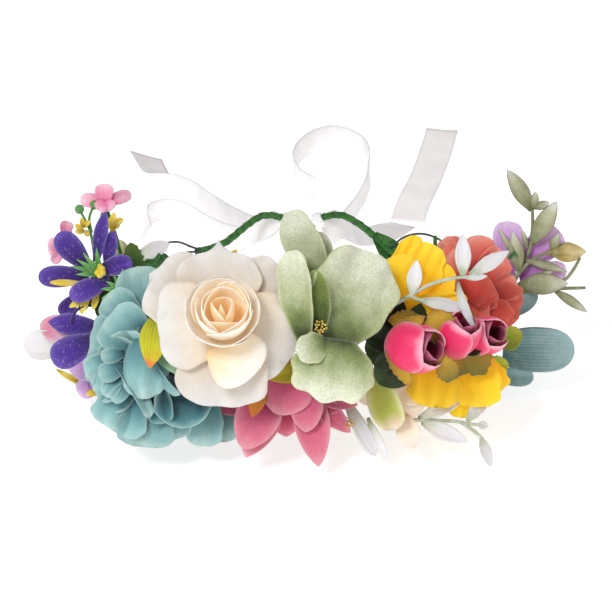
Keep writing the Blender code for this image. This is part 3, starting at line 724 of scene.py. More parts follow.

# %% [markdown]
# ## The aqua peony
#
# A peony is looser than a rose and its petals are of every size, cupped, notched and crumpled.
# Painted shade darkens their roots, so the hollows between them are a deep teal.

# %% Aqua peony
# Aqua cloth, pale at the rim and dark at the root, makes each layer stand off the next; the dark root is
# painted shade.
AQUA = petal_cloth("aqua_polyester_cloth", [(0.0, "1F4A54"), (0.3, "4A838C"), (0.68, "86B6B8"),
    (1.0, "AED2CE")], rim="C4DFDA", rim_amount=0.5, shade=0.2, vein=0.3, rim_power=10.0)
# A darker copy of it is painted shadow for a few dark petals in the heart's hollow.
AQUA_PAINTED_SHADE = petal_cloth("aqua_cloth_painted_shade", [(0.0, "0E2C34"), (0.55, "1D4B56"),
    (0.85, "4E8890"), (1.0, "8FBCBC")], rim="B4D6D2", rim_amount=0.5, shade=0.2, vein=0.2,
    rim_power=9.0)

peony = seat("peony_outer_petals")
R = peony["radius"]
bm = start_piece()
petal_row(bm, peony, evenly(6, 20), R * 0.46, R * 0.5, (12, 14), 0.10, 30, -0.2 * R,
    start=(R * 0.06, 0), lean=(70, 88), cup=0.12, ruffle=0.05, neck=0.4, fullest=0.66, point=3.0,
    blunt=2.2)
lay_petals(bm, "peony_outer_petals", [((35, -14, -5), (37.5, -33, -6), 12),
    ((29, -10, -2), (27, -35, -2), 17, {"curl": 0.12}), ((2, 16, 0), (-2, 45.5, -2), 21),
    ((-0.5, 18, 2), (-15, 33, 2), 17), ((-8, 7, 1), (-24, 9.5, -3), 30),
    ((18, 8, -3), (30, 2, -3), 22), ((20, -4, 0), (34, -6, -2), 20),
    ((10, -16, 2), (14, -32, 0), 19), ((4, -12, 3), (1, -35, 2), 26),
    ((-3, -10, 4), (-13, -27.5, 3), 26)], (16, 16), 31, cup=0.12, curl=0.05, ruffle=0.05, waves=3.2,
    neck=0.5, fullest=0.64, point=2.8, blunt=2.3, notch=0.2, scallop=0.04)
end_piece(bm, "peony_guard_petals", AQUA, replaces=("peony_outer_petals",))
bm = start_piece()
petal_row(bm, peony, (110, 150, 190, 235), R * 0.46, R * 0.5, (12, 12), 0.12, 36, 0.0,
    start=(R * 0.05, 0), lean=(52, 66), cup=0.2, ruffle=0.06, neck=0.4, fullest=0.66, point=3.0,
    blunt=2.2)
lay_petals(bm, "peony_outer_petals", [((2, 10, 5), (-14.5, 23.5, 5), 24),
    ((-6, 2, 7), (-22.5, -7, 3), 22)], (16, 16), 37, cup=0.2, curl=0.05, ruffle=0.06, waves=3,
    neck=0.5, fullest=0.6, point=2.8, blunt=2.3)
end_piece(bm, "peony_middle_row", AQUA, replaces=("peony_middle_petals",))
bm = start_piece()
lay_petals(bm, "peony_outer_petals", [((-10, 2, 9), (5, -21, 13), 8, {"roll": -40}),
    ((4.5, 18.5, 10), (1, -13, 15), 21, {"bow": 16, "cup": -0.25}),
    ((5, 5, 13), (17.5, -11.5, 13), 6.5, {"roll": 50}), ((-7, 7, 10), (-17, 5.5, 12), 7),
    ((-7, 1.5, 10), (-18, -3, 11), 9), ((-9, -2, 9), (-15, -12, 11), 8),
    ((-4, -6, 10), (-12, -14, 12), 7)], (14, 16), 44, cup=0.25, curl=0.05, ruffle=0.09, waves=2.6,
    neck=0.5, fullest=0.6, point=2.6, blunt=2.0, notch=0.2)
# Dark petals of painted shadow fill the hollow in the heart.
shade_sheet = start_piece()
lay_petals(shade_sheet, "peony_outer_petals", [((19, -2, 9), (18.5, -26, 9), 25,
    {"cup": 0.35, "bow": -34}), ((14, 6, 3), (24, -16, 4), 22, {"cup": -0.1}),
    ((6, -4, 8), (10, -24, 8), 12, {"cup": 0.3})], (16, 18), 46, neck=0.6, fullest=0.6, point=3.0,
    blunt=2.3, scallop=0.03)
end_piece(shade_sheet, "peony_painted_shade_petals", AQUA_PAINTED_SHADE)
end_piece(bm, "peony_crumpled_heart", AQUA, replaces=("peony_inner_petals",
    "peony_heart"))

# %% Leaves tucked between rose and peony
# Yellow-green cloth with an orange tip looks like a leaf that has begun to turn.
AUTUMN_LEAF = petal_cloth("yellow_green_printed_cloth", [(0.0, "A8AC1E"), (0.6, "D2CC20"),
    (0.78, "E0C028"), (0.86, "F4903C"), (1.0, "F58A4A")], vein=0.8)
# Mint cloth gives a cool leaf between warm flowers.
MINT_LEAF = petal_cloth("mint_printed_cloth", [(0.0, "4F8A66"), (0.5, "86B894"), (1.0, "B0D2AE")],
    vein=0.8)
# Gold cloth with deep veins gives a dry leaf.
GOLD_LEAF = petal_cloth("gold_printed_cloth", [(0.0, "7C7A14"), (0.5, "B9AC1C"), (1.0, "D8C02A")],
    vein=0.8)
# Orange cloth gives the brightest of the small leaves.
ORANGE_LEAF = petal_cloth("orange_printed_cloth", [(0.0, "8A8A24"), (0.4, "D98A2A"),
    (1.0, "F0862C")], vein=0.8)

for name, cloth, slot, node, row in (
    ("peony_leaf_yellow", AUTUMN_LEAF, "green_leaf", "peony_outer_petals",
        ((8.5, 23, 19), (5, 0.5, 21), 13)),
    ("peony_leaf_mint", MINT_LEAF, "green_leaf", "peony_outer_petals",
        ((7, 13, 11), (19.5, -3.5, 14), 10)),
    ("rose_leaf_olive", GOLD_LEAF, "green_leaf", "dahlia_outer_petals",
        ((5, 19, 13), (-10.5, 14, 14), 9)),
    ("rose_leaf_orange", ORANGE_LEAF, "green_leaf", "dahlia_outer_petals",
        ((-14, 11, 9), (-18, -3, 9), 8)),
    ("rose_leaf_top", GOLD_LEAF, "green_leaf", "rose_outer_petals",
        ((4, 18, -6), (8.5, 27, -6), 6)),
    ("rose_leaf_side", GOLD_LEAF, "green_leaf", "rose_outer_petals",
        ((30, 15, -5), (24, 13, -3), 5)),
):
    bm = start_piece()
    lay_petals(bm, node, [row], (10, 14), 7, crease=0.2, cup=0.0, neck=0.5, fullest=0.42, point=1.5,
        blunt=1.1, bow=14)
    end_piece(bm, name, cloth)

# %% [markdown]
# ## The sage magnolia
#
# This one has few petals and each is different: tall ones behind, a broad sail to one side, a lip
# that folds forward, and narrow curled ones round the stamens.

# %% Sage magnolia
# Sage pile that pales to nearly white at the tip gives the powdery bloom; its dark root is painted shade.
SAGE = flocked("sage_flocked_cloth", [(0.0, "3C4A20"), (0.3, "84935A"), (0.55, "BEC69C"),
    (0.9, "EDF0D8")], rim="E2E8B0", rim_power=9.0)
# Olive pile, a darker copy of the sage, is painted shade for the petal deep behind its middle.
SAGE_SHADE = flocked("olive_flocked_cloth_painted_shade", [(0.0, "2E3A14"), (0.4, "56682A"), (0.75, "7E9044"),
    (1.0, "A6B46C")], rim="D2DC9C", rim_power=9.0)
# Flocked polythene with no ribs gives matt yellow pollen.
POLLEN = moulded("pollen_flock", [(0.0, "8A7420"), (0.5, "C9A436"), (1.0, "E6C84C")], rib=0.0,
    roughness=0.9)

petal_piece("magnolia_broad_petals", SAGE, "sage_velvet", "magnolia_outer_petals",
    [((-3, 6, -7), (-4, 36, -9), 12, {"crease": 0.2}), ((2, 2, -4), (-16, 45, -4), 17,
    {"roll": -10, "bow": 10, "crease": 0.15}), ((-1, -15, 0), (19, 27, 1), 37,
    {"cup": 0.10, "ruffle": 0.13, "bow": 14, "waves": 2.2, "roll": 8, "notch": 0.25}),
    ((4.5, -11, 6), (0, -38, 4), 36, {"bow": 46, "ruffle": 0.08, "cup": -0.05, "fullest": 0.45,
    "waves": 2.6}), ((-9.5, -12, 6), (-15, 27.5, 6), 15, {"roll": -16, "ruffle": 0.08,
    "crease": 0.2}), ((-1, -12, 8), (-13, -17.5, 11), 13, {"ruffle": 0.12, "bow": 26,
    "fullest": 0.45})], (20, 24), 51, replaces=("magnolia_outer_petals",), thickness=VELVET_THICK,
    neck=0.45, fullest=0.58, point=2.6, blunt=2.1, scallop=0.05)
# The narrow petal behind the stamens wears the painted shade.
petal_piece("magnolia_narrow_petals", SAGE_SHADE, "sage_velvet", "magnolia_outer_petals",
    [((-3.5, -8, 6), (-5.5, 19, 8), 12, {"cup": 0.08})], (16, 22), 57,
    replaces=("magnolia_inner_petals",), thickness=VELVET_THICK, neck=0.5, fullest=0.5, point=2.0,
    blunt=1.8, scallop=0.04)
bm = start_piece()
chance = random.Random(5)
for i in range(16):
    angle = i * 2.4
    spread = 0.6 + 2.2 * (i / 16) ** 0.5
    root = spot("magnolia_outer_petals", -3, -5.5, 3)
    tip = root + (SIDE * math.cos(angle) * spread + TOP * math.sin(angle) * spread + AHEAD
        * chance.uniform(4, 7)) * MM
    add_stem(bm, [root, tip], 0.25, 0.2, 5, 1, 0.3)
    add_ball(bm, tip, 0.6, 0.8, 1)
end_piece(bm, "magnolia_stamen_threads", POLLEN, replaces=("magnolia_stamens",),
    thickness=0)

# %% [markdown]
# ## The pink dahlia
#
# Most of it is tucked under its neighbours; the petals that show are broad spears that hang down
# and out, each pressed into a shallow boat.

# %% Pink dahlia
# Rose-pink cloth with strong veins gives streaks that run to the points.
LOTUS = petal_cloth("rose_pink_polyester_cloth", [(0.0, "A82A58"), (0.35, "D6527E"),
    (0.8, "E3748F"), (1.0, "EC94A2")], rim="F4B4BE", rim_amount=0.6, shade=0.18, vein=0.5)

dahlia = seat("dahlia_outer_petals")
R = dahlia["radius"]
bm = start_piece()
petal_row(bm, dahlia, (20, 50, 80, 110, 140, 165), R * 0.8, R * 0.42, (10, 14), 0.05, 61, -0.1 * R,
    start=(R * 0.05, 0), lean=(70, 92), cup=0.22, crease=0.10, neck=0.4, fullest=0.55, point=1.9,
    blunt=1.5)
lay_petals(bm, "dahlia_outer_petals", [((-3.5, 5, -3), (-3, -12, -2), 17),
    ((-8.5, 8, -2), (-21, -21, -1), 17), ((-17, 3, -4), (-37, 1, -4), 9),
    ((6, 10, 0), (11.5, -25, 2), 16), ((8, 7, 1), (25.5, -10, 2), 10)], (14, 20), 62, bow=16,
    cup=0.2, crease=0.06, neck=0.45, fullest=0.45, point=1.6, blunt=1.3, ruffle=0.03)
end_piece(bm, "dahlia_outer_spears", LOTUS, replaces=("dahlia_outer_petals",))
petal_piece("dahlia_inner_spears", LOTUS, "rose_pink_silk", "dahlia_outer_petals",
    [((9, 7, 3), (28.5, 2.5, 4), 8), ((6, 14, 5), (6, -9.5, 6), 15),
    ((-9, 12, 3), (-22, -17, 4), 20), ((1, 19, 8), (-7, -1.5, 10), 24, {"cup": -0.15})], (14, 20),
    66, replaces=("dahlia_inner_petals",), bow=16, cup=0.15, crease=0.06, neck=0.5, fullest=0.48,
    point=1.8, blunt=1.5, ruffle=0.03)
bm = start_piece()
for i in range(7):
    root = spot("dahlia_outer_petals", 17, 1, 0)
    tip = spot("dahlia_outer_petals", 23 + i * 0.6, -4 - (i * 1.7) % 4, 2 + i % 3)
    add_stem(bm, [root, tip], 0.3, 0.2, 5, 1, 0.4)
    add_ball(bm, tip, 0.6, 0.9, 1)
end_piece(bm, "dahlia_stamen_threads", POLLEN, replaces=("dahlia_stamens",), thickness=0)

# %% [markdown]
# ## Tulips, blush bloom and coral rose
#
# The upper tulip lies on its side, half closed, green where its stem enters. The lower one has
# opened and hangs. The blush bloom is low between them, with one green petal turned outwards.

# %% Yellow tulips
# Thin yellow cloth lets some light through, and a painted glow, a faint emission, makes the cups look lit
# from inside.
YELLOW = petal_cloth("yellow_polyester_cloth", [(0.0, "C0AC20"), (0.15, "FFBA00"), (0.6, "FFCC08"),
    (1.0, "FFDA2C")], rim="FFDC4A", rim_amount=0.3, through=0.12, shade=0.12, vein=0.25, glow=0.3,
    mottle=0.03)

petal_piece("upper_tulip_petals", YELLOW, "yellow_silk", "upper_tulip_outer_petals",
    [((-14, -8, -3), (0, 25, -4), 15, {"scallop": 0.08}), ((0, -6, -4), (10, 14, -4), 22,
    {"blunt": 3.0}), ((-6, -4, -2), (7, 21, -2), 19, {"blunt": 2.8, "notch": 0.5, "roll": 14,
    "scallop": 0.09}), ((-8, -7, 2), (21.5, -3, 4), 12, {"roll": 20}),
    ((-17.5, -8.5, 3), (-3, 16, 5), 20, {"cup": -0.3, "bow": 18}), ((-5, -8, 0), (16, -10, 1), 10)],
    (18, 22), 71, replaces=("upper_tulip_outer_petals", "upper_tulip_heart"), cup=0.08, ruffle=0.08,
    waves=3.4, neck=0.4, fullest=0.55, point=2.2, blunt=1.8, scallop=0.05)
petal_piece("lower_tulip_cloth", YELLOW, "yellow_silk", "lower_tulip_petals",
    [((4.5, 5, -2), (4, -15, -1), 12), ((14, 9, -2), (20, -4, -3), 16),
    ((-7, 14, 5), (-9, -10, 7), 24, {"roll": -14}), ((10, 14, 4), (12, -10, 5), 21,
    {"roll": 16, "notch": 0.3}), ((-2, 8, 2), (0, -7, 3), 14), ((-13, 12, 3), (-18, -5, 3), 14)],
    (20, 22), 77, replaces=("lower_tulip_petals",), cup=-0.03, bow=14, ruffle=0.10, waves=3.2,
    neck=0.7, fullest=0.55, point=4.0, blunt=3.0, scallop=0.06)

# %% Blush bloom
# Thin blush cloth lets some light through and stays soft; a painted glow, a faint emission, lifts it in
# shade.
BLUSH = petal_cloth("blush_polyester_cloth", [(0.0, "D8C48A"), (0.3, "F4E0C4"), (0.7, "F8EADC"),
    (1.0, "F7DCD2")], through=0.08, shade=0.12, glow=0.25)
# Lime dye brushed on cream gives a petal that is half leaf.
GREEN_PETAL = petal_cloth("lime_brushed_cloth", [(0.0, "F1ECC6"), (0.3, "C6CC62"), (0.75, "B9C24E"),
    (1.0, "F0C8C0")], rim="F4EFC8", rim_amount=0.8, vein=0.4)
# Frosted white polythene gives a cloudy, waxy leaf.
WHITE_LEAF = moulded("white_frosted_polythene", [(0.0, "AEBB98"), (0.3, "E2E5DE"), (0.6, "EAEAEC"),
    (1.0, "F0EFF2")], glow=0.2)

petal_piece("blush_petals", BLUSH, "blush_silk", "blush_outer_petals",
    [((2, 2, -2), (16, 0, -2), 17), ((5, -2, -3), (13.5, -12, -3), 13),
    ((3, -10, -1), (10.5, -21, 0), 9), ((-5, 7, 1), (4, -3, 3), 17),
    ((-6, 8, -2), (-8, -8, -2), 14), ((6, -12, 2), (11.5, -26.5, 2), 11,
    {"point": 1.7, "blunt": 1.4})], (14, 16), 81, replaces=("blush_outer_petals",), cup=0.1,
    neck=0.5, fullest=0.55, point=2.6, blunt=2.2, bow=14)
petal_piece("blush_green_petal", GREEN_PETAL, "sage_velvet", "blush_outer_petals",
    [((-6, 9, 4), (-1.5, -19, 7), 14.5, {"crease": 0.2, "bow": 18, "ruffle": 0.08, "twist": 0.15})],
    (14, 18), 86, neck=0.45, fullest=0.62, point=2.6, blunt=2.0)
petal_piece("blush_loose_slips", WHITE_LEAF, "pale_leaf", "blush_outer_petals",
    [((-19, -5, 0), (-5.5, -30, 0), 7), ((-9, -13, 2), (-1, -31, 2), 4)], (10, 16), 87,
    thickness=LEAF_THICK, neck=0.4, fullest=0.6, point=2.0, blunt=1.6, cup=0.2, bow=16)

# %% Coral rose
# Coral cloth, much varied from petal to petal, keeps a flower of one colour readable.
CORAL = petal_cloth("coral_polyester_cloth", [(0.0, "A02A28"), (0.4, "D44C40"), (0.8, "EC7C6C"),
    (1.0, "F6A698")], rim="F0A292", rim_amount=0.4, shade=0.2)
# Deeper red coral is painted shade: a darker copy of the coral that gives the rolled heart its depth.
CORAL_DEEP = petal_cloth("deep_coral_polyester_cloth", [(0.0, "9A2420"), (0.5, "C63E30"),
    (1.0, "D95846")], rim="E87F6C", rim_amount=0.5, shade=0.2)

coral = seat("coral_outer_petals")
R = coral["radius"]
bm = start_piece()
petal_row(bm, coral, evenly(6, 20), R * 0.85, R * 0.9, (12, 14), 0.08, 91, -0.14 * R,
    start=(R * 0.1, 0), lean=(64, 86), cup=0.12, ruffle=0.03, neck=0.45, fullest=0.66, point=2.4,
    blunt=1.9)
lay_petals(bm, "coral_outer_petals", [((-4, 4, -7), (-14.5, 19, -8), 13, {"ruffle": 0.1}),
    ((-4, 1, -5), (-18.5, 13, -6), 19), ((0, 0, -4), (5, 15, -6), 27),
    ((3, -4, -2), (16, 4.5, -4), 24), ((1, -4, 4), (-6, -20, 2), 18)], (16, 20), 92, cup=0.12,
    curl=0.06, scallop=0.05, ruffle=0.07, neck=0.5, fullest=0.6, point=2.6, blunt=2.1, bow=16)
end_piece(bm, "coral_open_petals", CORAL, replaces=("coral_outer_petals",))
# The rolled heart is cut from the painted shade.
petal_piece("coral_rolled_heart", CORAL_DEEP, "coral_silk", "coral_outer_petals",
    [((3, -8.5, 0), (20.5, -13, -3), 20), ((2, -10, 2), (12, -21.5, 0), 18),
    ((-4, -10, 7), (3.5, 2, 7), 19, {"cup": -0.2}), ((-1, -12, 6), (7, -3, 5), 15, {"cup": -0.2}),
    ((6, -13, 5), (0, -3, 6), 12, {"cup": -0.2})], (16, 20), 97,
    replaces=("coral_inner_petals", "coral_heart"), neck=0.5, fullest=0.55, point=2.6, blunt=2.1,
    bow=20, scallop=0.05, ruffle=0.06)

# %% [markdown]
# ## Rosebuds in their bracts
#
# A bud is a few petals wrapped so tightly that only their overlapping edges show, and each edge
# is left pale where the dye stopped short. Round it stand saw-edged bracts of printed cloth.

# %% Rosebuds
# Maroon with the same gloss is painted shade for each bud's inner petals, nearly black in its folds.
MAROON = petal_cloth("maroon_polyester_cloth", [(0.0, "4A0C20"), (0.6, "7E1A3C"), (1.0, "B04468")],
    rim="E08AA4", rim_amount=0.5, vein=0.12, roughness=0.5, rim_power=9)
# Smoother cloth gives the rosebuds a slight gloss.
HOT_PINK = petal_cloth("hot_pink_polyester_cloth", [(0.0, "8E1038"), (0.45, "E8195C"),
    (0.86, "F5266A"), (1.0, "F9A6C0")], rim="FBD0DC", rim_amount=0.6, shade=0.10, vein=0.12,
    roughness=0.5, rim_power=9)
# Brown-gold cloth with hard veins gives dry bracts.
BRACT = petal_cloth("gold_green_printed_cloth", [(0.0, "6A6A1C"), (0.45, "A98A22"), (0.8, "C9A22C"),
    (1.0, "B8741E")], rim="7C5A1A", vein=0.9)
# Very dark green cloth is painted shadow: leaves of it fill the gaps between flowers.
SHADOW_GREEN = petal_cloth("painted_shadow_green_cloth", [(0.0, "141F0E"), (0.6, "24381A"),
    (1.0, "3E5A28")], vein=0.8)

BUDS = {"left": ((-5, 0.5, -2), 25, (0.86, -0.05), 12.2, 0), "middle": ((-3.5, -3.5, -3), 21,
    (0.45, 0.8), 8.8, 40), "right": ((-8, 2.5, -1), 20, (0.45, 0.1), 8.8, 10)}
# Each bud's three inner petals are the heart, cut from the maroon painted shade.
for label, (middle, long, (right, up), fat, first) in BUDS.items():
    centre = spot(f"{label}_rosebud", *middle)
    ahead = (SIDE * right + TOP * up + AHEAD * 0.85).normalized()
    side = TOP.cross(ahead).normalized()
    place = {"middle": centre - ahead * long * 0.42 * MM, "side": side, "top": ahead.cross(side),
        "ahead": ahead}
    bm, heart = start_piece(), start_piece()
    for turn, azimuth in enumerate((180, 270, 60, 150, 330, 240)):
        inside = turn / 6
        petal_row(bm if turn < 3 else heart, place, (azimuth + first,),
            (long * (1.22 - 0.12 * inside)) * MM, fat * (2.3 - 1.3 * inside) * MM, (16, 18), 0.02,
            110 + turn, start=(fat * 0.2 * MM * (1 - inside), 0),
            lean=(78 * (1 - 0.55 * inside), -38 + 26 * inside), bend=0.8, wrap=1.0, cup=0.0,
            neck=0.6, fullest=0.5, point=3.0, blunt=2.4)
    end_piece(heart, f"{label}_rosebud_heart", MAROON)
    end_piece(bm, f"{label}_rosebud_petals", HOT_PINK,
        replaces=(f"{label}_rosebud",))
petal_piece("left_bract_leaves", BRACT, "bract", "left_rosebud",
    [((-12.5, 5, 0), (2, 14, 2), 8), ((11, 2, -1), (6, 17, -2), 17), ((-14, 0, 2), (-4, -17, 6), 8),
    ((14, -14, 0), (8, -3, 4), 11), ((0, 12, -5), (-14, 12, -4), 10)], (14, 30), 120,
    replaces=("left_bud_bracts",), teeth=0.16, cup=0.1, crease=0.1, neck=0.5, fullest=0.45,
    point=1.7, blunt=1.3)
petal_piece("right_bract_leaves", BRACT, "bract", "right_rosebud",
    [((-10, -15, 1), (-12, 5, 5), 14), ((-17, -15, 0), (-20, -6, 2), 11),
    ((-14, 4, -4), (-14, 15, -4), 7)], (14, 30), 123, replaces=("middle_bud_bracts",
    "right_bud_bracts"), teeth=0.16, cup=0.1, crease=0.1, neck=0.5, fullest=0.45, point=1.7,
    blunt=1.3)
# Leaves of painted shadow behind the buds and beside the violets.
petal_piece("shadow_leaves", SHADOW_GREEN, "green_leaf", "left_rosebud",
    [((-8, 2, -14), (-24, 12, -14), 18), ((-8, 0, -14), (-24, 0, -14), 20),
    ((-6, -4, -14), (-18, -16, -14), 18), ((2, 6, -14), (6, 20, -14), 18),
    ((16, 0, -14), (28, 8, -14), 16), ((-8, 8, -15), (-20, 24, -15), 16),
    ((-16, 4, -16), (-27, 14, -16), 12)], (12, 16), 125, crease=0.2, neck=0.4, fullest=0.45,
    point=1.8, blunt=1.4)
petal_piece("left_shadow_leaves", SHADOW_GREEN, "green_leaf", "low_violet_petals",
    [((14, 26, -2), (8, 10, -2), 9), ((14, 22, -2), (20, 6, -2), 9), ((4, 24, -3), (0, 12, -3), 6),
    ((10, 18, -1), (3, 16, 0), 5), ((12, 30, -3), (20, 20, -3), 8)], (10, 14), 126, crease=0.25,
    neck=0.4, fullest=0.45, point=1.7, blunt=1.3)
print("rosebuds made")

# %% [markdown]
# ## The side flowers
#
# On the left are two violet star flowers with green spiked sepals, a half-open pink flower,
# lilac and white slips, and moulded pink fillers on branching stems.

# %% Violet and pink flowers on the left
# Rubbed violet pile shows its pale ground, which gives the speckled velvet.
VIOLET = flocked("violet_flocked_cloth", [(0.0, "2A1254"), (0.4, "46248E"), (0.8, "5632A4"),
    (1.0, "6E52B8")], rim="8E7ACC", grain_mm=1.0, sheen=0.6, worn=0.28)
# Fresh green polythene gives sepals and stems a clean, plastic green.
SEPAL = moulded("fresh_green_polythene", [(0.0, "3F7A34"), (0.6, "5EA04C"), (1.0, "86C46C")],
    rib=3.0)
# Yellow polythene gives small bright specks.
YELLOW_BITS = moulded("yellow_moulded_polythene", [(0.0, "C7A21C"), (0.5, "E8C62A"),
    (1.0, "F4DC50")], rib=0.0)
# White cloth dyed pink from the tip gives a streaked petal.
PINK_WHITE = petal_cloth("pink_and_white_cloth", [(0.0, "F4E8EE"), (0.4, "F2D2E0"), (0.8, "E0829F"),
    (1.0, "D97A94")], rim="FAF0F4", rim_amount=0.5, glow=0.25)
# Thin voile scatters light, which gives the lilac its haze.
LILAC = petal_cloth("lilac_voile", [(0.0, "8E4FB0"), (0.4, "C490DC"), (0.8, "DAB4EA"),
    (1.0, "E6C8F0")], rim="F0DCF6", rim_amount=0.4, glow=0.35, vein=0.4)

petal_piece("violet_velvet_petals", VIOLET, "violet_velvet", "violet_petals",
    [((-13, -12, -4), (-19, -21, -5), 8), ((-7, 2, 0), (-20.5, 17, 2), 11.5),
    ((-3, 4, 0), (1.5, 27, 3), 6.5, { "point": 1.6, "blunt": 1.3}),
    ((2, 2, 0), (5, 18, 1), 6.5, {"point": 1.8, "blunt": 1.4}), ((-6, -2.5, 2), (-29.5, -3, 0), 10),
    ((-1, 0, 4), (14, 4, 5), 9, { "ruffle": 0.14, "curl": 0.1}),
    ((4, -4, 6), (-14.5, -12.5, 5), 9.5)], (12, 18), 131, replaces=("violet_petals",),
    thickness=VELVET_THICK, bow=14, crease=0.2, cup=0.1, neck=0.45, fullest=0.6, point=2.4,
    blunt=1.9)
bm = start_piece()
lay_petals(bm, "low_violet_petals", [((10, 5.5, 6), (-14.5, 8, 5), 10,
    {"point": 1.5, "blunt": 1.1}), ((7, 0, 10), (-12, -10, 9), 14)], (12, 18), 135, bow=16,
    crease=0.15, cup=0.15, neck=0.45, fullest=0.6, point=2.2, blunt=1.8)
add_stem(bm, [spot("low_violet_petals", *p) for p in ((7, 16, 8), (0, 14, 9), (-3.5, 8, 9))], 0.6,
    0.4)
end_piece(bm, "low_violet_cloth", VIOLET, replaces=("low_violet_petals",),
    thickness=LEAF_THICK)
SPIKES = [((-0.5, -1.5, 7), tip, 3) for tip in ((-14, 2, 10), (-11, 5, 11), (-8, 8, 11),
    (-5.5, 6, 12), (-2, 10.5, 10), (-11.5, -2, 10))]
SPIKES += [((9, -9, 7), tip, 3) for tip in ((10, 1, 9), (6, -2, 10), (2.5, -5, 10), (0, -8.5, 10),
    (0, -13, 8), (14, -5, 6), (12, -2, 7), (4, -16, 7))]
petal_piece("violet_sepals", SEPAL, "calyx_green", "violet_petals", SPIKES, (4, 10), 137,
    thickness=LEAF_THICK, crease=0.4, neck=0.9, fullest=0.3, point=1.2, blunt=1.0, bow=18)
bm = start_piece()
lay_petals(bm, "violet_petals", [((-9, -6, 7), (-24, -5.5, 4), 3),
    ((-5, -11, 3), (-15, -17, 3), 3.5), ((-5.5, -8, 3), (-9.5, -20, 3), 3.5),
    ((-2, -10, 3), (-4, -18, 3), 3)], (6, 12), 139, ruffle=0.2, neck=0.6, fullest=0.5, point=2.0,
    blunt=1.5)
for right, up in ((-1.5, -1), (0.5, 0.5), (-0.5, 1.5), (0.8, -1.2), (-0.4, -2.2)):
    add_ball(bm, spot("violet_petals", right, up, 9), 1.5, 0.7, 2)
end_piece(bm, "violet_pollen", YELLOW_BITS, replaces=("violet_heart",),
    thickness=0.3 * MM)
petal_piece("left_pink_slip", PINK_WHITE, "lilac_silk", "low_violet_petals",
    [((5, 0, 2), (-18.5, 7, 1), 14)], (12, 16), 141, bow=14, cup=0.1, neck=0.6, fullest=0.55,
    point=2.0, blunt=1.7)
petal_piece("left_white_slip", WHITE_LEAF, "pale_leaf", "low_violet_petals",
    [((-8, -3, 0), (-26.5, -2.5, -2), 14)], (12, 16), 142, thickness=LEAF_THICK, bow=14, cup=0.15,
    neck=0.5, fullest=0.5, point=2.0, blunt=1.7)
petal_piece("low_lilac_cloth", LILAC, "lilac_silk", "low_lilac_petals",
    [((3, 14, 4), (-8, 4, 4), 14), ((6, 3, 2), (-5, -5.5, 2), 10), ((2, 6, 1), (4, -5, 1), 9)],
    (12, 14), 143, replaces=("low_lilac_petals",), bow=16, cup=0.2, neck=0.6, fullest=0.55,
    point=2.6, blunt=2.2)

# %% Moulded fillers
# Pink polythene gives small flowers a smooth, moulded look.
FILLER_PINK = moulded("pink_moulded_polythene", [(0.0, "E36A9C"), (0.5, "F096B8"), (1.0, "F7C4D6")],
    rib=4.0)

petal_piece("pink_filler_flower", FILLER_PINK, "filler_pink", "pink_filler_petals",
    [((2, 1, 0), (-9.5, 2.5, 0), 6.5), ((2, 1, 1), (1.5, 9.5, 2), 8.5),
    ((2.5, 1, 0), (14, 5, 0), 6), ((2, 1.5, 2), (-1, -3, 3), 6),
    ((2.5, 1.5, 2), (5.5, -2.5, 3), 6)], (10, 12), 145, replaces=("pink_filler_petals",),
    thickness=PLASTIC_THICK, cup=0.2, neck=0.5, fullest=0.6, point=2.6, blunt=2.0, bow=18,
    ruffle=0.04)
petal_piece("side_filler_flower", FILLER_PINK, "filler_pink", "side_filler_petals",
    [((0, 6, 0), (2, 12, 1), 6), ((-1, -0.5, 0), (-7.5, 2.5, 1), 5.5),
    ((-1, -1, 0), (-7.5, -2, 1), 5.5), ((-0.5, 0, 1), (-5, -8, 2), 5),
    ((0, 1, 0), (-5.5, 2, -1), 5)], (10, 12), 146, replaces=("side_filler_petals",),
    thickness=PLASTIC_THICK, cup=0.2, neck=0.5, fullest=0.6, point=2.6, blunt=2.0, bow=18)
bm = start_piece()
for route in (((1.5, 0, 0), (-1, -9.5, -1), (-3.5, -22, -2)),
    ((-10, -2.5, 0), (-7.5, -7, 0), (-5, -13, -1), (-3.5, -22, -2)),
              ((-3.5, -0.5, 0), (-5.5, -6.5, 0), (-4.5, -13, -1)),
              ((6, -10, 0), (2, -16, -1), (-3, -21, -2))):
    add_stem(bm, [spot("pink_filler_petals", *p) for p in route], 0.55, 0.7, 6, 4, 0.3)
for right, up in ((-10, -2.2), (-3.3, -0.2)):
    add_ball(bm, spot("pink_filler_petals", right, up, 0.5), 2.3, 0.5)
for route in (((2, 8, 0), (6, 3, 2), (10, -4, 4)), ((-4, -4, 1), (2, -5, 3), (10, -10, 5))):
    add_stem(bm, [spot("side_filler_petals", *p) for p in route], 0.5, 0.5, 6, 4, 0.3)
end_piece(bm, "filler_stems", SEPAL, thickness=0)
bm = start_piece()
TWIGS = [("pink_filler_petals", *row) for row in (((-8, -12.5, 0), (-12, -9, 1), 2.4),
    ((-8, -10.5, 0), (-9, -6, 1), 2.4), ((-8, -10.5, 0), (-5, -7.5, 1), 2.4),
    ((-8, -12.5, 0), (-12, -12.5, 1), 2.4), ((-7, -12, 0), (-6, -15, 1), 2.4),
    ((5.5, -12.5, 0), (4, -6, 1), 3), ((5.5, -11.5, 0), (6, -3.5, 1), 3),
    ((5.5, -9.5, 0), (10.5, -6.5, 1), 3), ((5.5, -10.5, 0), (9, -9.5, 1), 2.4))]
TWIGS += [("low_lilac_petals", (-4 + i % 3, -1 + i % 2, 1), (-16 + 2.2 * i, 6.5 - 1.5 * i,
    1 + i % 2), 2.2) for i in range(6)]
TWIGS += [("low_lilac_petals", (3, -3 - i, 5), (-1 + 1.5 * i, -6, 6), 2.2) for i in range(3)]
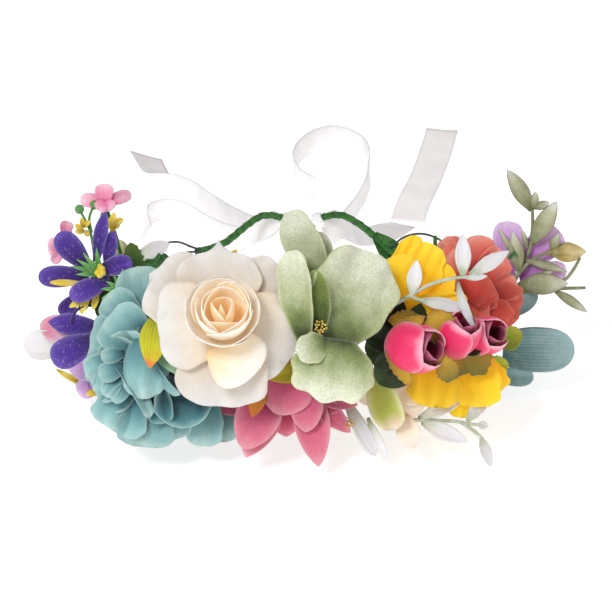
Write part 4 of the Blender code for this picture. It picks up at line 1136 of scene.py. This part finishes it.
for i, (node, root, tip, width) in enumerate(TWIGS):
    lay_petals(bm, node, [(root, tip, width)], (4, 8), i, neck=0.5, fullest=0.6, point=1.6,
        blunt=1.3, cup=0.3, bow=20)
end_piece(bm, "yellow_filler_twigs", YELLOW_BITS, thickness=VELVET_THICK)

# %% Leaves on the left
# Dark green cloth gives the leaves that lie underneath.
DARK_LEAF = petal_cloth("dark_green_printed_cloth", [(0.0, "26401C"), (0.5, "3C6226"),
    (1.0, "6E8A3C")], vein=0.8)
# Khaki cloth gives a pale, dry leaf.
KHAKI = petal_cloth("khaki_printed_cloth", [(0.0, "8A8A4A"), (0.5, "C9C78E"), (1.0, "E4E0B4")],
    vein=0.6)

for name, cloth, node, replaced, rows, shape in (
    ("serrated_cloth_leaf", DARK_LEAF, "serrated_leaf", ("serrated_leaf",),
        [((-8, -18, 0), (-12, -1, 0), 10)], {"teeth": 0.2}),
    ("khaki_slip", KHAKI, "serrated_leaf", (), [((-14.5, -12, -3), (-18, 0.5, -3), 8)], {}),
    ("pale_frosted_leaf", WHITE_LEAF, "pale_back_leaf", ("pale_back_leaf",),
        [((-10, -6.5, 0), (6, 0.5, 0), 8)], {}),
):
    bm = start_piece()
    lay_petals(bm, node, rows, (12, 26), 150, crease=0.12, neck=0.4, fullest=0.5, point=1.9,
        blunt=1.6, bow=14, **shape)
    if name == "pale_frosted_leaf":
        add_stem(bm, [spot("pale_back_leaf", *p) for p in ((-8, -6, 0), (-11, -11, -2),
            (-12, -18, -6))], 0.5)
    end_piece(bm, name, cloth,
        replaces=replaced, thickness=LEAF_THICK)

# %% Orchid and leaves on the right
# Teal polythene with many fine ribs gives a frosted eucalyptus leaf.
TEAL_LEAF = moulded("teal_frosted_polythene", [(0.0, "648F98"), (0.5, "90B5BA"), (1.0, "A6C6C8")],
    rib=42.0, rib_depth=0.6, frost=0.12)
# Lime cloth gives the leaves that catch the light on the right.
AUTUMN_GREEN = petal_cloth("lime_printed_cloth", [(0.0, "6E8A24"), (0.6, "A6B83A"),
    (1.0, "CCCC4A")], vein=0.8)

petal_piece("orchid_cloth", LILAC, "lilac_silk", "orchid_petals",
    [((-5.5, -11, -12), (-5, 15.5, -13), 15, {"curl": 0.12}), ((1, -6, -12), (19, 11, -14), 16),
    ((0, -11, -11), (22.5, -8, -12), 10)], (14, 16), 160, replaces=("orchid_petals",), bow=14,
    cup=0.15, ruffle=0.03, neck=0.45, fullest=0.62, point=2.8, blunt=2.2)
petal_piece("teal_broad_leaf", TEAL_LEAF, "teal_leaf", "teal_leaf_large",
    [((-17, 0, 0), (16.5, -1, 1), 21, {"blunt": 2.0, "point": 2.6})], (22, 24), 162,
    replaces=("teal_leaf_large",), thickness=PLASTIC_THICK, bow=14, cup=0.14, neck=0.75,
    fullest=0.45)
petal_piece("teal_small_leaves", TEAL_LEAF, "teal_leaf", "teal_leaf_large",
    [((-13, 16, -4), (-1, 27, -5), 9), ((-20, -13, -2), (-2.5, -13.5, -2), 9, {"crease": 0.3})],
    (14, 20), 163, replaces=("teal_leaf_small",), thickness=PLASTIC_THICK, bow=14, cup=0.1,
    neck=0.5, fullest=0.55, point=2.4, blunt=1.9)
petal_piece("right_cloth_leaves", AUTUMN_GREEN, "green_leaf", "teal_leaf_large",
    [((-20, 3, 8), (-9, 8, 10), 13), ((-24, -9, 6), (-15, -7, 8), 11)], (12, 24), 164,
    replaces=("yellow_green_leaf",), thickness=LEAF_THICK, bow=12, crease=0.15, teeth=0.15,
    neck=0.5, fullest=0.45, point=1.8, blunt=1.4)

# %% [markdown]
# ## Moulded sprays
#
# A spray comes out of its mould in one piece, stem and leaves together. The olive one carries a
# golden bud; the two white ones are frosted and fade to green where they join the band.

# %% Sprays
# Frosted olive polythene with a brown rim gives berries and blades that look dusted.
OLIVE = moulded("olive_frosted_polythene", [(0.0, "767C50"), (0.4, "A0A47C"), (0.7, "BEC0A0"),
    (1.0, "E2E2DA")], rim="7E745A", frost=0.12)
# Gilded polythene with deep ribs gives buds that glint at their edges.
GOLD_BUD = moulded("gilded_polythene", [(0.0, "7E7440"), (0.5, "C0A860"), (1.0, "D9CC9A")], rib=6.0,
    rib_depth=0.9)

SPRAYS = {"olive_spray": (OLIVE, "olive_leaf", "olive_spray", ("olive_spray",), 0.9,
    [((-4.5, -40, 0), (-0.5, -30.5, 0), (3.5, -22.5, 0), (6, -16.5, 0), (7.5, -7, 0), (7.5, 4, 0)),
    ((-1.5, -30.5, 1), (4.5, -23.5, 2), (11.5, -19, 3), (17, -17, 3)),
    ((-2, -36, 2), (10, -34, 4), (21.5, -31, 4), (26, -26.5, 4), (29.5, -20.5, 4)),
    ((-2, -37, 2), (18, -35, 4), (32, -34.5, 4))], [((7, -14, 0), (19, 6.5, 0), 9),
    ((1, -27, 2), (-2, -8, 2), 7), ((0.5, -33, 4), (24, -32.5, 4), 10),
    ((17, -35.5, 4), (33, -46, 4), 4.5), ((16, -17, 3), (19.5, -9, 3), 5),
    ((7, 2, 0), (-4.5, 21.5, 0), 8), ((5, -16, 1), (2.5, -7, 1), 2.5),
    ((3, -21, 2), (24, -27, 2), 4), ((0, -33, 3), (18, -26, 3), 3.5), ((7.5, 3, 1), (9, 11, 1), 4),
    ((8, 3, 1), (15.5, 6, 1), 4), ((2, -26, 2), (-9, -6, 2), 3)], []),
    "golden_bud": (GOLD_BUD, "olive_leaf", "olive_spray", ("gold_bud_spray",), 1.2,
    [((14, -18, 3), (18, -17, 3))], [((16, -17.5, 3.5), (32.5, -17.5, 3.5), 9, {"cup": -0.5}),
    ((16, -18, 2.5), (31, -19, 2.5), 8, {"cup": 0.3})], []), "white_upper": (WHITE_LEAF,
    "pale_leaf", "upper_tulip_outer_petals", ("white_upper_spray",), 0.8,
    [((-17.5, -8.5, 9), (-12, -6, 11), (-4, -1.5, 12), (4, 3, 12), (12.5, 5.5, 11), (19.5, 6.5, 10),
    (28, 6.5, 9)), ((-4, -1.5, 12), (0, -3.5, 12), (6, -3, 12))],
    [((-3.5, -1.5, 12), (-1, 14, 12), 6.5), ((19, 6.5, 10), (19, 25.5, 9), 7),
    ((22, 7.5, 10), (39.5, 18, 8), 6.5), ((17, 4.5, 10), (18.5, -19, 12), 4, {"twist": 0.3}),
    ((0, -3.5, 12), (22, -8, 11), 6), ((20, 6, 10), (30, 7, 9), 3)], []),
    "white_lower": (WHITE_LEAF, "pale_leaf", "white_lower_spray", ("white_lower_spray",), 0.8,
    [((-21, 11, 0), (-12.5, 11, 0), (0, 10.5, 0), (6.5, 9.5, 0), (14, 8.5, 0)),
    ((4, 10, 0), (9.5, 6, 0), (13, 3, 0))], [((-15.5, 12, 0), (5, 20.5, 0), 6),
    ((-14, 10, 0), (6.5, 1.5, 1), 7.5), ((6.5, 10.5, 0), (17, 26, 0), 7),
    ((12.5, 3.5, 0), (17, -10, 0), 5), ((11, 9, 0), (16, 8.5, 0), 3.5)], [])}
for name, (plastic, slot, node, replaced, thick, stems, leaves, buds) in SPRAYS.items():
    bm = start_piece()
    for route in stems:
        add_stem(bm, [spot(node, *p) for p in route], thick, thick * 0.6, 7, 4, 0.1)
    for bud in buds:
        add_ball(bm, spot(node, *bud[:3]), bud[3], 0.7)
    lay_petals(bm, node, leaves, (10, 18), 170, bow=16, crease=0.14, neck=0.25, fullest=0.48,
        point=1.6, blunt=1.2)
    end_piece(bm, f"{name}_moulding", plastic, replaces=replaced, thickness=0.45 * MM)

# %% [markdown]
# ## Taped wire
#
# The band is wire wound with crepe tape. Tape goes on as a long spiral, pulled tight, so each
# turn laps the one before and its torn edges stand up a little. Towards the flowers each arm
# thins to bare dark wire, and ends in a flare where the tape was pinched off.

# %% Tape spirals
# Waxed crepe gives the band its blotchy, wrinkled green.
TAPE = crepe_tape("green_floral_tape", "1A4E1C", "3F7A32")
# Coated wire gives a smooth dark green with a small shine.
WIRE = moulded("green_coated_wire", [(0.0, "1E3A2C"), (1.0, "2E5040")], rib=0.0, roughness=0.4)

def add_tape(bm, points, radius, pitch=5.0, width=6.5, seed=3):
    """Adds one spiral of tape round a route; lengths in millimetres."""
    route = smooth_route(points, 6)
    length = sum((b - a).length for a, b in zip(route, route[1:]))
    turns = length / (pitch * MM)
    made = bmesh.ops.create_grid(bm, x_segments=4, y_segments=int(turns * 18), size=1.0)["verts"]
    layers = [bm.verts.layers.float[name] for name in MARKS]
    chance = random.Random(seed)
    ragged = [chance.uniform(-1, 1) for _ in range(int(turns * 18) + 2)]
    marks = [0.0]
    for a, b in zip(route, route[1:]):
        marks.append(marks[-1] + (b - a).length)
    for vert in made:
        s, t = vert.co.x, (vert.co.y + 1) / 2
        row = int(round(t * turns * 18))
        lap = s * width / 2 * (1 + 0.12 * ragged[row] * (s > 0)) * MM
        at = min(max(t * length + lap, 0.0), length * 0.9999)
        k = max(i for i in range(len(route) - 1) if marks[i] <= at)
        share = (at - marks[k]) / (marks[k + 1] - marks[k])
        here = route[k].lerp(route[k + 1], share)
        way = (route[k + 1] - route[k]).normalized()
        level = way.cross(Vector((0, 0, 1))).normalized()
        up = level.cross(way)
        angle = t * turns * 2 * math.pi
        r = (radius * (1 + 0.15 * t) + 0.15 + 0.22 * s + 0.1 * ragged[row] * (s > 0)) * MM
        vert.co = here + level * math.cos(angle) * r + up * math.sin(angle) * r
        for layer, value in zip(layers, (t, abs(s), 0.5)):
            vert[layer] = value


def metres(points):
    return [Vector(p) * MM for p in points]


LEFT_ARM = [(-4.5, 79, 34.6), (-10.5, 78.5, 40.2), (-20, 77, 42), (-28, 74, 38), (-35, 70, 33.5),
    (-41, 66, 31), (-52, 62, 29)]
RIGHT_ARM = [(4.5, 79, 34.6), (10.5, 78.5, 40.2), (20, 77, 42.3), (29, 76.5, 37.5), (35, 73, 34),
    (40, 69, 31), (45, 64, 28)]
WIRES = {"left": [[(-50, 62.5, 29.3), (-56, 58, 34), (-62, 55, 38), (-69, 49, 39.5),
    (-73, 43, 34.5)], [(-50, 62.5, 29), (-59, 57, 31), (-66.5, 50, 31.6)]],
    "right": [[(44, 65, 28.5), (50, 59, 38), (57, 54, 43), (64, 50, 44), (71, 42, 43),
    (74.5, 38.5, 35)], [(45, 64, 27), (52, 59, 29), (60, 54, 31), (66.5, 50, 31.6)],
    [(43, 66, 28), (46, 61, 25), (49, 56, 24)]]}
for label, arm in (("left", LEFT_ARM), ("right", RIGHT_ARM)):
    bm = start_piece()
    add_stem(bm, metres(arm), 1.45, 1.75, 12, 5)
    add_tape(bm, metres(arm), 1.45)
    end_piece(bm, f"{label}_arm_tape", TAPE, f"{label}_back_arm", 0,
        (f"{label}_arm",))
    bm = start_piece()
    for wire in WIRES[label]:
        add_stem(bm, metres(wire), 0.62, 0.55, 8)
    wires = end_piece(bm, f"{label}_arm_wires", WIRE, None, 0)
    # the front end of a bare wire stays in the flowers, and the wire itself bends as the arm does
    side = -1 if label == "left" else 1
    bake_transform(wires, "crown", f"{label}_back_arm", start=(side * 71 * MM, 43 * MM, 40 * MM),
        end=(side * 56 * MM, 57 * MM, 35 * MM))
    print(label, "arm and its", len(WIRES[label]), "bare wires")

# %% Flared end of the tape and the small spurs on it
FLARES = {"right": [((38, 71, 33), (47, 62, 25), 10), ((37, 71, 34), (49, 62, 29), 7)],
    "left": [((-47, 64, 29), (-54, 62, 28), 5)]}
for label, flaps in FLARES.items():
    bm = start_piece()
    for i, (root, tip, width) in enumerate(flaps):
        start, end = Vector(root) * MM, Vector(tip) * MM
        out = (end - start).normalized()
        face = facing(out)
        add_petal(bm, start, out, face, (end - start).length, width * MM, (10, 10), 0.5, i,
            lean=(84, 96), cup=0.35, neck=0.5, fullest=0.8, point=4.0, blunt=4.0, ruffle=0.08)
    end_piece(bm, f"{label}_tape_flare", TAPE, f"{label}_back_arm", 0.5 * MM)

# %% [markdown]
# ## Satin ribbon
#
# Each ribbon is one strip of satin, cut from the roll. It leaves its knot, falls to the table and
# lies there, mostly on its edge, where its own stiffness holds it in curls.

# %% Ribbons
# White satin gives a soft band of gloss along each ribbon.
SATIN = satin("white_satin", "FAF9F9", "EDE9EA")
# Where satin lies flat, a painted glow, a faint emission, takes its shading away as light from the table
# would.
PAINTED_GLOW_SATIN = satin("white_satin_painted_glow", "FAF9F9", "EDE9EA", through=0.16)

RING_BACK = 80.0  # how far behind the middle the ring's back lies, in mm


def lay_ribbon(name, stations, width, replaced, body, ripple=0.3, seed=1,
    end_cut=0.0,
               gathered=1.0, finish=SATIN):
    """A strip of satin through stations: x, distance behind the ring, lower edge, tilt.

    It is drawn together where it enters the knot, unless gathered is 0."""
    route = smooth_route([Vector((x, RING_BACK + behind, z)) for x, behind, z, _ in stations], 8)
    tilts = [p.x for p in smooth_route([Vector((s[3], 0, 0)) for s in stations], 8)]
    bm = start_piece()
    rows = len(route) - 1
    made = bmesh.ops.create_grid(bm, x_segments=8, y_segments=rows, size=1.0)["verts"]
    layers = [bm.verts.layers.float[name] for name in MARKS]
    for vert in made:
        s, i = vert.co.x, int(round((vert.co.y + 1) / 2 * rows))
        way = route[min(i + 1, rows)] - route[max(i - 1, 0)]
        level = Vector((way.x, way.y, 0)).normalized()
        flat_way = Vector((0, 0, 1)).cross(level)
        lean = min(max(tilts[i], 0.0), 1.0) * math.pi / 2
        wide = flat_way * math.cos(lean) + Vector((0, 0, 1)) * math.sin(lean)
        thin = Vector((0, 0, 1)) * math.cos(lean) - flat_way * math.sin(lean)
        lift = width / 2 * math.sin(lean) + 0.3
        wave = ripple * math.sin(i * 0.45 + seed) * s + 0.25 * ripple * math.sin(i * 1.1 + 2 * s)
        middle = Vector((route[i].x, route[i].y, max(route[i].z, 0.0) + lift))
        drawn = min(0.35 + gathered * i * (route[1] - route[0]).length / width,
            1.0) if gathered else 1.0
        point = middle + wide * s * width / 2 * drawn + thin * wave
        point += level * end_cut * s * max(i / rows * 4 - 3, 0.0)
        vert.co = point * MM
        vert.co.z = max(vert.co.z, FLOOR_GAP)
        for layer, value in zip(layers, (i / rows, s, 0.5)):
            vert[layer] = value
    made = end_piece(bm, name, finish, body, 0.25 * MM, replaced)
    return made


lay_ribbon("right_curl_satin", [(9, 0, 31, 1.0), (12, 7, 24, 1.0), (16, 24, 12, 1.0),
    (24, 60, 1, 1.0), (35, 102, 0, 1.0), (38, 134, 0, 1.0), (33, 162, 0, 1.0), (18, 173, 0, 1.0),
    (2, 162, 0, 1.0), (-5, 136, 0, 1.0), (-2, 115, 0, 1.0), (7, 103, 0, 1.0)], 15.0,
    ("right_ribbon_curl",), "right_back_arm", 0.5, 1)
lay_ribbon("right_drop_satin", [(9, -1, 31, 1.0), (20, 5, 25, 0.85), (28, 20, 14, 0.6),
    (40, 46, 4, 0.25), (55, 72, 0, 0)], 15.2,
    ("right_ribbon_drop",), "right_back_arm", 0.4, 2)
# The tail lying flat wears the satin with painted glow.
lay_ribbon("right_tail_satin", [(57.5, 76, 0, 0), (62, 100, 0, 0), (70, 132, 0, 0), (77, 166, 0, 0),
    (83, 201, 0, 0)], 19.0, ("right_ribbon_tail",), "right_back_arm",
    0.5, 3, 1.0, 0.0, PAINTED_GLOW_SATIN)
lay_ribbon("left_outer_satin", [(-9, 0, 31, 1.0), (-16, 8, 24, 1.0), (-24, 28, 12, 1.0),
    (-36, 56, 3, 1.0), (-54, 88, 0, 1.0), (-68, 108, 0, 0.8), (-82, 134, 0, 0.12),
    (-91, 164, 0, 0.0)], 15.0, ("left_ribbon_outer",),
    "left_back_arm", 0.5, 4, 9.0)
lay_ribbon("left_inner_satin", [(-9, -1, 31, 1.0), (-23, 6, 22, 1.0), (-34, 24, 8, 1.0),
    (-48, 50, 0, 1.0), (-62, 70, 0, 0.9), (-76, 76, 0, 0.9), (-84, 66, 0, 0.9), (-84, 46, 0, 0.7)],
    15.0, ("left_ribbon_inner",), "left_back_arm", 0.5, 5, 4.0)

# %% Finishes for the frame's own solids
# Green polythene gives the flowers a plain underside.
CALYX = moulded("green_moulded_polythene", [(0.0, "3C6A2A"), (0.5, "5E8C3A"), (1.0, "86A850")])

for names, finish in (
    (("front_band", "left_tape_sleeve", "right_tape_sleeve"), TAPE),
    (("left_ribbon_knot", "right_ribbon_knot"), SATIN),
    (("cream_rose_calyx", "aqua_peony_calyx", "sage_magnolia_calyx"), CALYX),
):
    for name in names:
        NODES[name].data.materials.clear()
        NODES[name].data.materials.append(finish)
    print(finish.name, "on", *names)

# %% [markdown]
# ## Floor, light and camera
#
# The crown stands on a plain white surface in soft, even light. A long lens from a little above
# keeps the ring's shape true.

# %% Stage
FLOOR_SIZE = 6.0
bm = bmesh.new()
bmesh.ops.create_grid(bm, x_segments=1, y_segments=1, size=FLOOR_SIZE / 2)
mesh = bpy.data.meshes.new("floor")
bm.to_mesh(mesh)
bm.free()
floor = bpy.data.objects.new("floor", mesh)
bpy.context.scene.collection.objects.link(floor)
paper, tree = new_material("white_paper")
place = add(tree, "ShaderNodeTexCoord").outputs["Object"]
tooth = add(tree, "ShaderNodeTexNoise", {"Vector": place, "Scale": 400.0}).outputs["Fac"]
tint = add(tree, "ShaderNodeValToRGB", {"Fac": tooth}, stops=[(0.0, "FAFAFA"),
    (1.0, "FDFDFD")]).outputs["Color"]
shader = add(tree, "ShaderNodeBsdfPrincipled", {"Base Color": tint, "Roughness": 0.9,
    "Emission Color": light("FFFFFF"), "Emission Strength": 0.5})
finish_material(tree, shader)
floor.data.materials.append(paper)
world = bpy.data.worlds.new("studio")
bpy.context.scene.world = world
world.use_nodes = True
world.node_tree.nodes["Background"].inputs["Color"].default_value = light("FFFFFF")
world.node_tree.nodes["Background"].inputs["Strength"].default_value = 0.45


def area_light(name, where, toward, size, power):
    """A soft box that looks at a point."""
    lamp = bpy.data.lights.new(name, "AREA")
    lamp.size = size
    lamp.energy = power
    made = bpy.data.objects.new(name, lamp)
    bpy.context.scene.collection.objects.link(made)
    made.location = where
    made.rotation_euler = (Vector(toward) - Vector(where)).to_track_quat("-Z", "Y").to_euler()
    return made


area_light("key", (-0.45, -0.75, 0.95), (0, -0.05, 0.04), 0.35, 7.8)
area_light("fill", (0.8, -0.5, 0.6), (0, 0, 0.04), 0.8, 1.5)
bpy.context.scene.view_settings.view_transform = "Standard"
print("floor", FLOOR_SIZE, "m wide")

# %% Camera
DISTANCE = 1.10
FIELD_WIDTH = 0.294  # what the frame takes in at the aim point
AIM = Vector((0.002, 0.0, 0.031))
camera_data = bpy.data.cameras.new("camera")
camera_data.sensor_width = 36.0
camera_data.lens = 36.0 * DISTANCE / FIELD_WIDTH
camera = bpy.data.objects.new("camera", camera_data)
bpy.context.scene.collection.objects.link(camera)
camera.location = AIM + AHEAD * DISTANCE
camera.rotation_euler = (math.pi / 2 - VIEW_TILT, 0, 0)
bpy.context.scene.camera = camera
print("lens, mm:", round(camera_data.lens, 1))
